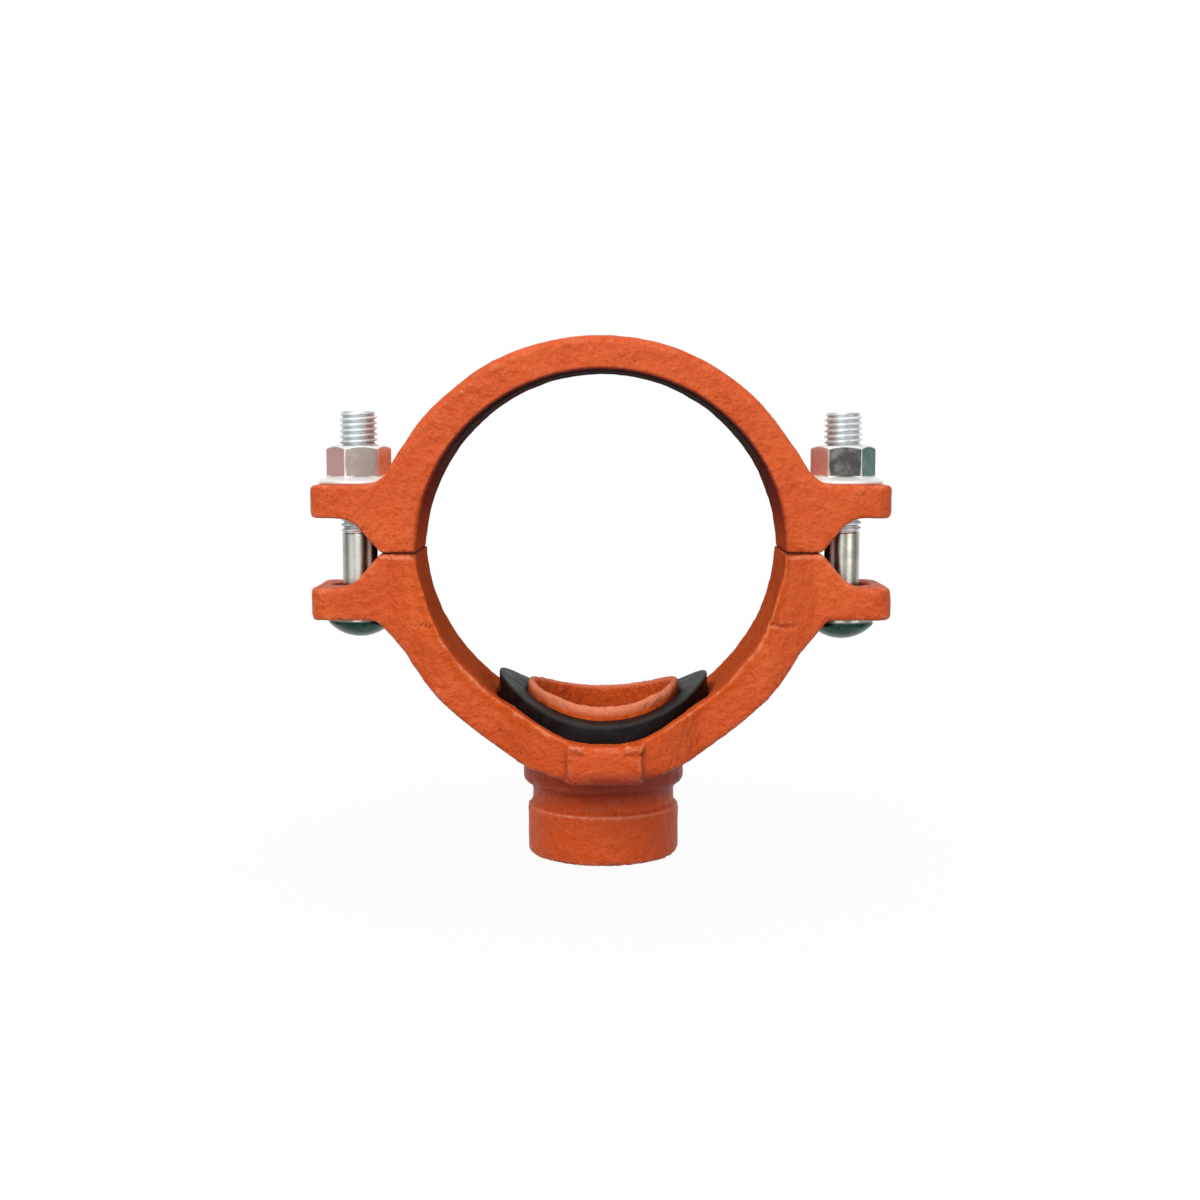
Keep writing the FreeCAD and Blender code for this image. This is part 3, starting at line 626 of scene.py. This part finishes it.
def make_lower_housing():
    """The saddle half: outline trimmed to its plan, with pads, outlet, pocket, collar and waterway. The collar's rim
    was dressed smooth, and the bore's right side above the gasket lies a little further left."""
    grain = 0.84
    housing = prism("saddle_casting", lower_outline(), 1, -BOSS, BOSS)
    steps = [("INTERSECT", prism("plan", lower_plan(), 2, -80, 1))]
    for x in (-BOLT_X, BOLT_X):
        steps.append(("DIFFERENCE", prism("hole", slot_outline(x, *HOLE), 2, -30, -5)))
        steps.append(("DIFFERENCE", prism("seat", arc((x, 0), HEAD_RELIEF, 0, 352.5, 48), 2, -40, -EAR_OUTER)))
    rows = outlet_rows()
    waterway = turned([0, WATERWAY, WATERWAY, 0], [-99, -99, -20, -20], 96)
    steps += [
        ("UNION", prism("pads", pad_outline(), 2, *PAD_HEIGHTS)),
        ("UNION", surface("outlet", turned(rows[:, 0], rows[:, 1], 128), ring=True)),
        ("DIFFERENCE", prism("notch", notch_outline(), 2, -56.1, -50)),
        ("DIFFERENCE", pocket_shell()),
        ("UNION", collar_shell()),
        ("DIFFERENCE", surface("waterway", waterway)),
    ]
    carve(housing, steps)
    soften(housing, grain, 7)
    points, normals, ends = read(housing.data)
    points = cast_skin(points, normals)
    for change in (crease_saddle, leave_flash, roughen_waterway):
        points = change(points, normals)
    rim = swell(-4, -2.5, points[:, 2] - run_curve(points[:, 0], COLLAR_CURVE))
    rim *= swell(COLLAR + 1.2, COLLAR + 0.6, from_upright(points))
    points = even_out(points, ends, rim, 14)
    points[:, 0] -= 0.6 * hump(points[:, 0], 42, 11) * swell(BORE + 6, BORE + 2, from_run(points, LOWER_CENTRE))
    write(housing.data, lean(raise_front_edge(points)))
    mark_skin(housing.data, grain, LOWER_CENTRE)
    return housing


def gasket_top(x):
    """Height of the gasket's top at the distance x from the middle: a run curve that sweeps up to its tips, tilted."""
    return run_curve(x, GASKET_TOP_CURVE) + GASKET_SWEEP * np.square(x / GASKET[1]) - 0.3 - GASKET_TILT * x


def make_gasket():
    """A moulded ring: its outline, with rounded corners and the pressure groove, is carried round the collar. The
    top and the floor each follow their own cylinder along the run, and the outside narrows upwards."""
    columns = 240
    angle = np.linspace(0, TAU, columns, endpoint=False)
    inside, outside = GASKET
    corner = 1.2
    flat_rows, wall_rows, foot_rows = 8, 6, 4
    quarter = np.linspace(0, math.pi / 2, 6)
    # From the top's inner edge outwards over the rounded corner, then from the bevel below the wall inwards
    over = np.concatenate([
        np.linspace(inside + corner, outside - corner, flat_rows), outside - corner + corner * np.sin(quarter),
    ])[:, None] * np.ones(columns)
    over_down = np.concatenate([np.zeros(flat_rows), corner * (1 - np.cos(quarter))])[:, None]
    under = np.concatenate([
        outside - corner + corner * np.cos(quarter), np.linspace(outside - 2, inside + 1, foot_rows),
    ])[:, None] * np.ones(columns)
    under_up = np.concatenate([corner * np.cos(quarter), np.zeros(foot_rows)])[:, None]
    top = gasket_top(over * np.cos(angle)) - GASKET_FALL * swell(inside - 4, outside, over) - over_down
    foot = run_curve(under * np.cos(angle), GASKET_FLOOR_CURVE) + under_up
    part = np.linspace(0, 1, wall_rows + 2)[1:-1, None]
    wall = top[-1] * (1 - part) + foot[0] * part
    # Inside wall, from the floor up, with the groove that the water's pressure opens
    groove_radius = np.array([inside, inside, inside + 2.6, inside + 3.0, inside + 2.6, inside, inside])
    groove_down = np.array([9.2, 6.4, 6.2, 4.8, 3.5, 3.4, 0.7])
    groove = groove_radius[:, None] * np.ones(columns)
    inner = run_curve(groove * np.cos(angle), GASKET_TOP_CURVE) - groove_down[:, None]
    inner[0] = run_curve(groove[0] * np.cos(angle), GASKET_FLOOR_CURVE) + 0.5
    height = np.vstack([top, wall, foot, inner])
    reach = np.vstack([over, np.full((wall_rows, columns), outside), under, groove])
    taper = GASKET_TAPER * np.clip(height - run_curve(0, BORE), 0, None)
    reach = reach - taper * swell(inside + 1, outside, reach)
    grid = np.stack([reach * np.cos(angle), reach * np.sin(angle), height], axis=-1)
    gasket = surface("saddle_gasket", grid, ring=True)
    points, normals, _ = read(gasket.data)
    # The top mark carries a painted greenish reflection on faces that face up.
    note(gasket.data, "top", swell(0.4, 0.8, normals[:, 2]))
    # The rim mark is a painted highlight along the top's outer edge.
    below_rim = gasket_top(points[:, 0]) - GASKET_FALL - points[:, 2]
    at_rim = swell(outside - 2.2, outside - 1.2, from_upright(points))
    note(gasket.data, "rim", hump(below_rim, 0.2, 0.5) * at_rim)
    points += normals * (0.05 * lattice_noise(points, 5.0, 5))[:, None]
    write(gasket.data, lean(points))
    return gasket


# ---------------------------------------------------------------- bolts and nuts

def thread_radius(height, angle, low, high):
    """Radius of the rolled right-hand thread: a ridge that climbs one pitch each turn, with 30 degree flanks, a
    narrow crest and a rounded root. It rises out of the plain shank from low to high."""
    phase = height / PITCH - angle / TAU
    rise = np.abs(phase - np.floor(phase) - 0.5) * 2
    flank = np.clip((rise - 0.16) / 0.70, 0, 1)
    flank = 0.6 * flank + 0.4 * swell(0, 1, flank)
    grown = swell(low, high, height)
    return SHANK + grown * (ROOT + (CREST - ROOT) * flank - SHANK)


def slot_radius(angle, length, width):
    """Distance from the middle of an oval to its rim."""
    flat = (length - width) / 2
    round_end = flat * np.abs(np.cos(angle)) + np.sqrt((width / 2) ** 2 - np.square(flat * np.sin(angle)))
    straight = width / 2 / np.maximum(np.abs(np.sin(angle)), 1e-6)
    return np.where(straight * np.abs(np.cos(angle)) <= flat, straight, round_end)


def make_bolt(name, x, tip, slack):
    """A track bolt, head down, as one turned grid: domed head, rounded rim, oval neck, shank, thread, tip. Its head
    stands lower by the slack that is left under the ear."""
    columns = 72
    angle = np.linspace(0, TAU, columns, endpoint=False)
    wide = np.ones(columns)
    seat = -EAR_OUTER
    dome_radius = (HEAD**2 + HEAD_DOME**2) / (2 * HEAD_DOME)
    dome = np.linspace(0, HEAD - 0.3, 18)
    dome_height = seat - slack - HEAD_RIM + dome_radius - HEAD_DOME - np.sqrt(dome_radius**2 - dome**2)
    oval = slot_radius(angle, *OVAL)
    shank_rows = np.linspace(seat + OVAL_HEIGHT, 2.0, 14)
    thread_rows = np.arange(2.3, tip - 0.01, PITCH / 12)
    thread = thread_radius(thread_rows[:, None], angle, 5.0, 7.2)
    tip_bevel = CREST - 0.75 * np.clip(thread_rows - (tip - 1.5), 0, None)
    thread = np.minimum(thread, tip_bevel[:, None])
    # Each row is its radius, one number or one for each column, and its height
    rows = [
        *zip(dome, dome_height),
        (HEAD - 0.1, seat - slack - 1.75), (HEAD, seat - slack - 1.5), (HEAD, seat - 0.35), (HEAD - 0.1, seat - 0.12),
        (9.85, seat), (oval, seat), (oval, seat + 3.0), (oval, seat + 6.9), (oval * 0.97, seat + 7.4),
        (SHANK + 0.4, seat + OVAL_HEIGHT - 0.05), *((SHANK, height) for height in shank_rows),
        *zip(thread, thread_rows), (thread[-1].mean() - 0.3, tip), (2.4, tip), (0.0, tip),
    ]
    radius, height = (np.array([row[part] * wide for row in rows]) for part in (0, 1))
    bolt = surface(name, turned(radius, height, columns, x))
    points = read(bolt.data)[0]
    level = points[:, 2]
    reach = from_upright(points, x)
    inward = -np.sign(x) * (points[:, 0] - x) / np.maximum(reach, 1e-3)
    middle = swell(8.5, 6.5, level) * swell(seat + 4, seat + 8, level)
    # Painted shade in the thread's roots.
    note(bolt.data, "root", swell(CREST - 0.1, ROOT, reach) * swell(6.0, 7.0, level) * swell(tip, tip - 0.4, level))
    note(bolt.data, "thread", swell(5.5, 6.5, level))
    # A painted dark reflection on the shank's inner side, and a stripe of it on the outer side.
    note(bolt.data, "painted_dark_reflection", middle * (swell(0.15, 0.32, inward) + 0.6 * hump(inward, -0.66, 0.13)))
    # A painted white stripe of reflected light on the shank's inner side.
    note(bolt.data, "painted_white_stripe", middle * hump(inward, 0.64, 0.12))
    # A painted highlight stripe on the front of the left shank.
    note(bolt.data, "painted_highlight_stripe", (x < 0) * middle * hump(inward, -0.36, 0.18))
    note(bolt.data, "dome", swell(seat - slack - 0.4, seat - slack - 0.8, level))
    return bolt


def hexagon_radius(angle, turn):
    """Distance from a hexagon's middle to its side, with the corners rounded off a little."""
    part = np.mod(angle - math.radians(turn), math.pi / 3) - math.pi / 6
    return np.minimum(NUT_FLAT / np.cos(part), NUT_CORNER - 0.18)


def cone_height(radius):
    """Height over the ear of the cone between a nut's flange and its hexagon."""
    return 1.5 + 0.4 * (12.0 - radius)


def make_nut(name, x, turn):
    """A flange nut as one closed ring: flange with a rounded rim, cone, hexagon whose corners a 30 degree cone
    cuts to arches on the flats, flat top, and the thread inside."""
    columns = 216
    start = math.radians(turn)
    angle = start + np.linspace(0, TAU, columns, endpoint=False)
    wide = np.ones(columns)
    seat = EAR_OUTER
    side = hexagon_radius(angle, turn)
    foot = cone_height(side)
    top = NUT_HEIGHT - (side - NUT_FACE) * NUT_BEVEL
    thread_rows = np.arange(seat + 11.4, seat + 0.6, -PITCH / 10)
    inside = thread_radius(thread_rows[:, None], angle, -2, -1) + THREAD_PLAY
    # Each row is its radius and its height over the ear, one number or one for each column
    rows = [
        (6.6, 0.0), (12.3, 0.0), (12.7, 0.12), (12.9, 0.45), (12.9, 0.85), (12.7, 1.15), (12.3, 1.35),
        (11.2, cone_height(11.2)), (10.7, cone_height(10.7)), (side + 0.12, foot + 0.1),
        (side, foot + 0.45), (side, (foot + top) / 2), (side, top - 0.25), (side * 0.99, top),
        (0.5 * (side + NUT_FACE), NUT_HEIGHT - 0.5 * (side - NUT_FACE) * NUT_BEVEL),
        (NUT_FACE, NUT_HEIGHT - 0.02), (8.3, NUT_HEIGHT), (6.7, NUT_HEIGHT), *zip(inside, thread_rows - seat),
    ]
    radius, height = (np.array([row[part] * wide for row in rows]) for part in (0, 1))
    nut = surface(name, turned(radius, height + seat, columns, x, start), ring=True)
    points = read(nut.data)[0]
    level = points[:, 2] - seat
    reach = from_upright(points, x)
    round_nut = np.arctan2(points[:, 1], points[:, 0] - x) - start
    corner = np.mod(round_nut, math.pi / 3)
    corner = np.minimum(corner, math.pi / 3 - corner) * NUT_CORNER
    bevel = swell(0.35, 0.0, NUT_HEIGHT - (reach - NUT_FACE) * NUT_BEVEL - level) * swell(7.6, 8.4, reach)
    # Painted lighter, partly as a highlight: the flange and cone, the top bevel and the corners.
    note(nut.data, "bright", np.maximum.reduce([swell(2.9, 2.4, level), 0.8 * bevel, 0.7 * swell(0.4, 0.05, corner)]))
    facet = turn + 30 + 60 * np.floor(np.mod(round_nut, TAU) * 3 / math.pi)
    for mark, direction in (("left", 210), ("front", 270), ("right", 330)):
        off = np.abs(np.mod(facet - direction + 180, 360) - 180)
        note(nut.data, mark, (off < 20) * swell(8.6, 8.9, reach))
    return nut


# ---------------------------------------------------------------- finishes

def paint(code):
    """An sRGB hex colour as linear red, green, blue and alpha."""
    parts = [int(code[start:start + 2], 16) / 255 for start in (1, 3, 5)]
    return [part / 12.92 if part <= 0.04045 else ((part + 0.055) / 1.055) ** 2.4 for part in parts] + [1.0]


def add(tree, kind, inputs=None, **settings):
    """Adds a node with its settings and returns its outputs. Each input, by name or number, is linked to a socket,
    painted an sRGB hex colour or set to a value. Numbers stand where names repeat: a MapRange takes its value at 0,
    its range at 1 and 2 and the new range at 3 and 4, and a Mix takes its share at 0, two numbers at 2 and 3 or two
    colours at 6 and 7."""
    made = tree.nodes.new("ShaderNode" + kind)
    for name, setting in settings.items():
        setattr(made, name, setting)
    for name, given in (inputs or {}).items():
        if isinstance(given, bpy.types.NodeSocket):
            tree.links.new(given, made.inputs[name])
        else:
            made.inputs[name].default_value = paint(given) if isinstance(given, str) else given
    return made.outputs


def blank(name):
    """An empty material with its node tree and its object coordinates in millimetres."""
    material = bpy.data.materials.new(name)
    material.use_nodes = True
    tree = material.node_tree
    tree.nodes.clear()
    place = add(tree, "TexCoord")["Object"]
    return material, tree, add(tree, "VectorMath", {0: place, 3: 1000.0}, operation="SCALE")[0]


def toned(tree, colour, tones):
    """Lays tones over a colour in turn. Each is a value, where on it the tone starts and is full, its share there
    and its colour."""
    for value, starts, full, share, tone in tones:
        cover = add(tree, "MapRange", {0: value, 1: starts, 2: full, 4: share})[0]
        colour = add(tree, "Mix", {0: cover, 6: colour, 7: tone}, data_type="RGBA")[2]
    return colour


def cast_enamel(name, shine):
    """Stoving enamel sprayed on sand-cast ductile iron. The grain of the mould shows through as lumps 1 to 3 mm wide
    and pits, with an uneven half gloss. Painted shade darkens the hollows, the bolt holes, the neck under the boss,
    the bore and most of all its roof, the gap at the split and the lower parts; edges are paler, partly from wear and
    partly as a painted highlight, and painted glints speck the waterway. Its shine is the specular level: half gloss
    outside, and nearly none where it went on as dry dust."""
    material, tree, place = blank(name)
    drift = add(tree, "TexNoise", {"Vector": place, "Scale": 1 / 16, "Detail": 3.0})[0]
    lumps = add(tree, "TexNoise", {"Vector": place, "Scale": 1 / 2.6, "Detail": 5.0, "Roughness": 0.55})[0]
    sand = add(tree, "TexNoise", {"Vector": place, "Scale": 1 / 0.8, "Detail": 3.0, "Roughness": 0.6})[0]
    bend, inside, painted_roof_shade, painted_shade, painted_gap_shade, painted_edge_highlight, painted_glints, low = [
        add(tree, "Attribute", attribute_name=mark)["Fac"]
        for mark in ("bend", "inside", "painted_roof_shade", "painted_shade", "painted_gap_shade", "painted_edge_highlight", "painted_glints", "low")
    ]
    patchy = add(tree, "MapRange", {0: lumps, 1: 0.38, 2: 0.60})[0]
    # Paler on edges: partly wear, partly a painted highlight.
    edge_wear_and_highlight = add(tree, "MapRange", {0: bend, 1: 0.15, 2: 0.8})[0]
    edge_wear_and_highlight = add(tree, "Math", {0: edge_wear_and_highlight, 1: patchy}, operation="MULTIPLY")[0]
    # painted glints: light dots in the waterway
    specks = add(tree, "MapRange", {0: sand, 1: 0.60, 2: 0.72})[0]
    specks = add(tree, "Math", {0: specks, 1: painted_glints}, operation="MULTIPLY")[0]
    colour = toned(tree, "#cd4f18", [
        (drift, 0.35, 0.65, 1.0, "#d75920"),
        (lumps, 0.52, 0.75, 0.32, "#df733c"),
        (lumps, 0.44, 0.28, 0.32, "#aa3a12"),
        # painted shade: darker towards the bottom
        (low, 0.0, 1.0, 0.65, "#cc4a0e"),
        # painted shade: darker in hollows
        (bend, -0.15, -0.8, 0.65, "#8c2a12"),
        (edge_wear_and_highlight, 0.0, 1.0, 0.55, "#ee9a72"),
        # painted highlights along edges
        (painted_edge_highlight, 0.2, 1.0, 0.62, "#f4a282"),
        # painted glints in the waterway
        (specks, 0.0, 1.0, 0.75, "#f0a488"),
        # painted shade: darker inside the bore
        (inside, 0.0, 1.0, 0.30, "#b84c20"),
        # painted shade on the bore's roof, dark red near the split and near black above
        (painted_roof_shade, 0.0, 0.40, 0.80, "#74190f"),
        (painted_roof_shade, 0.35, 1.0, 0.95, "#241512"),
        # painted shade in the bolt holes and on the neck under the boss
        (painted_shade, 0.0, 1.0, 0.80, "#781b0d"),
        # painted shade in the gap at the split
        (painted_gap_shade, 0.2, 1.0, 0.85, "#3a120a"),
    ])
    relief = add(tree, "Math", {0: sand, 1: 0.3, 2: lumps}, operation="MULTIPLY_ADD")[0]
    bump = add(tree, "Bump", {"Height": relief, "Strength": 0.8, "Distance": 0.0014})[0]
    gloss = add(tree, "MapRange", {0: lumps, 1: 0.30, 2: 0.70, 3: 0.56, 4: 0.42})[0]
    gloss = add(tree, "Mix", {0: inside, 2: gloss, 3: 0.95})[0]
    shader = add(tree, "BsdfPrincipled", {
        "Base Color": colour, "Roughness": gloss, "Normal": bump, "Specular IOR Level": shine, "IOR": 1.5,
    })[0]
    add(tree, "OutputMaterial", {0: shader})
    return material


def moulded_rubber():
    """EPDM rubber from a steel mould: near black and half matt, faintly streaked, with a painted greenish reflection
    where it faces up and a painted grey highlight along its upper rim."""
    material, tree, place = blank("moulded EPDM rubber")
    streaks = add(tree, "TexNoise", {"Vector": place, "Scale": 1 / 7, "Detail": 3.0})[0]
    dust = add(tree, "TexNoise", {"Vector": place, "Scale": 1 / 0.8, "Detail": 3.0})[0]
    top, rim = [add(tree, "Attribute", attribute_name=name)["Fac"] for name in ("top", "rim")]
    colour = toned(tree, "#0c0808", [
        (streaks, 0.38, 0.62, 1.0, "#1c1719"),
        # painted greenish reflection where it faces up
        (top, 0.2, 0.8, 1.0, "#070d0c"),
        # painted highlight along the upper rim
        (rim, 0.2, 1.0, 0.55, "#3c3a3c"),
        (dust, 0.60, 0.78, 0.25, "#3a322f"),
    ])
    bump = add(tree, "Bump", {"Height": dust, "Strength": 0.3, "Distance": 0.0002})[0]
    gloss = add(tree, "MapRange", {0: streaks, 1: 0.30, 2: 0.70, 3: 0.60, 4: 0.42})[0]
    shader = add(tree, "BsdfPrincipled", {
        "Base Color": colour, "Roughness": gloss, "Normal": bump, "Specular IOR Level": 0.1, "IOR": 1.52,
    })[0]
    add(tree, "OutputMaterial", {0: shader})
    return material


def plated(tree, place, colour, wear, sharp, dull, metal=1.0):
    """Finishes a plated metal: its colour, a roughness from sharp to dull by its wear and in patches, the steel's
    faint waves, and how much of it is bare metal."""
    waves = add(tree, "TexNoise", {"Vector": place, "Scale": 1 / 2.2, "Detail": 3.0})[0]
    bump = add(tree, "Bump", {"Height": waves, "Strength": 0.15, "Distance": 0.0001})[0]
    gloss = add(tree, "MapRange", {0: wear, 3: sharp, 4: dull})[0]
    gloss = add(tree, "Math", {0: waves, 1: 0.12, 2: gloss}, operation="MULTIPLY_ADD")[0]
    shader = add(tree, "BsdfPrincipled", {
        "Base Color": colour, "Roughness": gloss, "Normal": bump, "Metallic": metal,
    })[0]
    add(tree, "OutputMaterial", {0: shader})


def rolled_zinc():
    """Bright zinc plate on rolled and forged steel. Painted shade darkens the thread's roots, and a painted dark
    reflection the shank's sides; the inner side has a painted white stripe of reflected light, less metallic there,
    and the left shank a painted highlight stripe in front. The head's dome is dark green, up to its bright rim."""
    material, tree, place = blank("bright zinc plate on rolled steel")
    drift = add(tree, "TexNoise", {"Vector": place, "Scale": 1 / 6, "Detail": 3.0})[0]
    blotches = add(tree, "TexNoise", {"Vector": place, "Scale": 1 / 2.5, "Detail": 4.0})[0]
    root, dome, thread, painted_dark_reflection, painted_white_stripe, painted_highlight_stripe = [
        add(tree, "Attribute", attribute_name=mark)["Fac"]
        for mark in ("root", "dome", "thread", "painted_dark_reflection", "painted_white_stripe", "painted_highlight_stripe")
    ]
    # dark green on the head's dome
    dome_green = toned(tree, "#12302a", [(blotches, 0.40, 0.65, 1.0, "#2c463b")])
    colour = toned(tree, "#b7b3a8", [
        (drift, 0.38, 0.62, 1.0, "#a3a098"),
        (thread, 0.0, 1.0, 1.0, "#edf1f2"),
        # painted shade in the thread's roots
        (root, 0.15, 1.0, 0.45, "#7c868a"),
        # painted highlight stripe on the left shank
        (painted_highlight_stripe, 0.0, 1.0, 0.85, "#eef5ee"),
        # painted dark reflection on the shank's sides
        (painted_dark_reflection, 0.0, 1.0, 0.85, "#45413e"),
        # painted white stripe of reflected light
        (painted_white_stripe, 0.1, 0.9, 1.0, "#eef2f0"),
        (dome, 0.3, 0.7, 1.0, dome_green),
    ])
    # less metallic under the painted white stripe
    bare = add(tree, "MapRange", {0: painted_white_stripe, 3: 1.0, 4: 0.1})[0]
    plated(tree, place, colour, thread, 0.22, 0.45, bare)
    return material


def nut_zinc(name, painted_flat_reflections):
    """Zinc plate on a forged nut: the cone, top bevel and corners painted lighter and rougher, partly as a painted
    highlight, and each of the three flats in front painted a colour of its own as a painted reflection."""
    material, tree, place = blank(name)
    drift = add(tree, "TexNoise", {"Vector": place, "Scale": 1 / 4, "Detail": 4.0, "Roughness": 0.6})[0]
    ragged = add(tree, "MapRange", {0: drift, 1: 0.30, 2: 0.55, 3: 0.7, 4: 1.0})[0]
    bright = add(tree, "Attribute", attribute_name="bright")["Fac"]
    colour = toned(tree, "#c3bfba", [(drift, 0.38, 0.66, 1.0, "#b2aba2")])
    # Each front flat is painted a colour of its own as a reflection.
    for side, tone in painted_flat_reflections.items():
        flat = add(tree, "Attribute", attribute_name=side)["Fac"]
        flat = add(tree, "Math", {0: flat, 1: ragged}, operation="MULTIPLY")[0]
        colour = toned(tree, colour, [(flat, 0.0, 1.0, 1.0, tone)])
    # painted lighter, partly as a highlight, on the cone, top bevel and corners
    colour = toned(tree, colour, [(bright, 0.2, 0.8, 1.0, "#f2f2ef")])
    plated(tree, place, colour, bright, 0.48, 0.58)
    return material


ENAMEL = cast_enamel("stoving enamel on sand-cast ductile iron", 0.28)
DUSTED_ENAMEL = cast_enamel("dry enamel dust on cast iron in the bore", 0.1)
RUBBER = moulded_rubber()
BOLT_ZINC = rolled_zinc()
# Painted reflections on each nut's three front flats.
LEFT_NUT_ZINC = nut_zinc("zinc plate on the left nut", {"left": "#d2a8a2", "front": "#9f938b", "right": "#fff4e0"})
RIGHT_NUT_ZINC = nut_zinc("zinc plate on the right nut", {"left": "#f2e0d6", "front": "#4c4a4a", "right": "#5f7f7b"})


# ---------------------------------------------------------------- the pieces in their places

def dust_bore(housing, centre_z):
    """Gives the faces of a housing's bore the dry dusted enamel, as its second finish."""
    centres = np.empty(len(housing.data.polygons) * 3)
    housing.data.polygons.foreach_get("center", centres)
    inside = from_run(centres.reshape(-1, 3) / MM, centre_z) < BORE + 0.5
    housing.data.materials.append(DUSTED_ENAMEL)
    housing.data.polygons.foreach_set("material_index", inside.astype(int))


def place_piece(piece, body, nodes, material, crease=None):
    """Scales a piece from millimetres to metres and hands it to its body, its nodes and its finish."""
    piece.data.transform(Matrix.Scale(MM, 4))
    piece.data.shade_smooth()
    if crease:
        piece.data.set_sharp_from_angle(angle=math.radians(crease))
    piece.data.materials.clear()
    piece.data.materials.append(material)
    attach(piece, body)
    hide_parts(*nodes)


for make, node, centre_z in (
    (make_upper_housing, "upper_housing", UPPER_CENTRE), (make_lower_housing, "lower_housing", LOWER_CENTRE),
):
    housing = make()
    place_piece(housing, "clamp", [node], ENAMEL)
    dust_bore(housing, centre_z)
place_piece(make_gasket(), "clamp", ["gasket"], RUBBER, crease=50)
left_bolt = make_bolt("track_bolt_left", -BOLT_X, tip=44.0, slack=0.3)
right_bolt = make_bolt("track_bolt_right", BOLT_X, tip=43.5, slack=1.0)
left_nut = make_nut("flange_nut_left", -BOLT_X, turn=12.5)
right_nut = make_nut("flange_nut_right", BOLT_X, turn=56.5)
place_piece(left_bolt, "left_bolt", ["bolt_left"], BOLT_ZINC, crease=35)
place_piece(right_bolt, "right_bolt", ["bolt_right"], BOLT_ZINC, crease=35)
place_piece(left_nut, "left_nut", ["nut_left"], LEFT_NUT_ZINC, crease=25)
place_piece(right_nut, "right_nut", ["nut_right"], RIGHT_NUT_ZINC, crease=25)


# ---------------------------------------------------------------- floor, light and camera

def lay_floor():
    """A wide pale floor under the outlet, white to the camera and to mirrors but for the object's soft shadow."""
    half = 3.0
    low = CAD_BOX[0][2]
    mesh = bpy.data.meshes.new("floor")
    corners = [(-half, -half, low), (half, -half, low), (half, half, low), (-half, half, low)]
    mesh.from_pydata(corners, [], [(0, 1, 2, 3)])
    floor = bpy.data.objects.new("floor", mesh)
    bpy.context.scene.collection.objects.link(floor)
    material = bpy.data.materials.new("white studio paper")
    material.use_nodes = True
    tree = material.node_tree
    tree.nodes.clear()
    away = add(tree, "VectorMath", {0: add(tree, "TexCoord")["Object"]}, operation="LENGTH")["Value"]
    glow = add(tree, "MapRange", {0: away, 1: 0.10, 2: 0.30, 3: 0.965, 4: 1.0})[0]
    path = add(tree, "LightPath")
    seen = add(tree, "Math", {0: path["Is Camera Ray"], 1: path["Is Glossy Ray"]}, operation="MAXIMUM")[0]
    seen = add(tree, "Math", {0: seen, 1: path["Is Transmission Ray"]}, operation="MAXIMUM")[0]
    share = add(tree, "Math", {0: seen, 1: glow}, operation="MULTIPLY")[0]
    paper = add(tree, "BsdfDiffuse", {"Color": "#808080"})[0]
    white = add(tree, "Emission", {"Color": "#ffffff", "Strength": 1.0})[0]
    add(tree, "OutputMaterial", {0: add(tree, "MixShader", {0: share, 1: paper, 2: white})[0]})
    mesh.materials.append(material)


def hang_lamp(name, place, target, size, power):
    """A square softbox at a place, facing a target, in metres and watts."""
    lamp = bpy.data.lights.new(name, "AREA")
    lamp.size = size
    lamp.energy = power
    holder = bpy.data.objects.new(name, lamp)
    holder.location = place
    aim = np.subtract(target, place)
    yaw = math.atan2(aim[1], aim[0]) - math.pi / 2
    pitch = math.atan2(aim[2], math.hypot(aim[0], aim[1])) + math.pi / 2
    holder.rotation_euler = (pitch, 0, yaw)
    bpy.context.scene.collection.objects.link(holder)


def light_sky():
    """An even grey sky for the object, white to the camera. Mirrors and glass see the white backdrop behind the
    object, a pale wall far in front of it and dim sides between them."""
    world = bpy.data.worlds.new("studio")
    world.use_nodes = True
    tree = world.node_tree
    tree.nodes.clear()
    path = add(tree, "LightPath")
    depth = add(tree, "SeparateXYZ", {0: add(tree, "TexCoord")["Generated"]})["Y"]
    behind = add(tree, "MapRange", {0: depth, 1: 0.2, 2: 0.45, 3: 0.0, 4: 1.0})[0]
    front = add(tree, "MapRange", {0: depth, 1: -0.3, 2: -0.85, 3: 0.40, 4: 0.18})[0]
    room = add(tree, "Math", {0: behind, 1: front}, operation="MAXIMUM")[0]
    mirrored_ray = add(tree, "Math", {0: path["Is Glossy Ray"], 1: path["Is Transmission Ray"]}, operation="MAXIMUM")[0]
    strength = add(tree, "Mix", {0: mirrored_ray, 2: 0.30, 3: room})[0]
    strength = add(tree, "Mix", {0: path["Is Camera Ray"], 2: strength, 3: 1.0})[0]
    sky = add(tree, "Background", {"Color": "#ffffff", "Strength": strength})[0]
    add(tree, "OutputWorld", {0: sky})
    bpy.context.scene.world = world


def set_camera():
    """The photograph's viewpoint: 0.55 m in front, 39 mm above the run's axis, tilted 5.7 degrees down."""
    focal_px = 1732.7
    image_px = 1200
    camera = bpy.data.cameras.new("camera")
    camera.sensor_width = 36.0
    camera.lens = camera.sensor_width * focal_px / image_px
    camera.clip_start = 0.01
    holder = bpy.data.objects.new("camera", camera)
    holder.location = (-0.0003, -0.5516, 0.0392)
    holder.rotation_euler = (math.radians(90 - 5.73), 0, 0)
    bpy.context.scene.collection.objects.link(holder)
    bpy.context.scene.camera = holder


lay_floor()
light_sky()
hang_lamp("key", place=(-0.5, -0.9, 0.9), target=(0, 0, 0), size=0.6, power=11.0)
hang_lamp("front", place=(-0.25, -1.45, 0.32), target=(0, 0, -0.02), size=0.8, power=6.2)
hang_lamp("fill", place=(0.95, -0.9, 0.1), target=(0, 0, 0), size=0.6, power=4.2)
hang_lamp("top", place=(0.1, -0.1, 1.2), target=(0, 0, 0), size=0.9, power=4.0)
set_camera()
bpy.context.scene.view_settings.view_transform = "Standard"
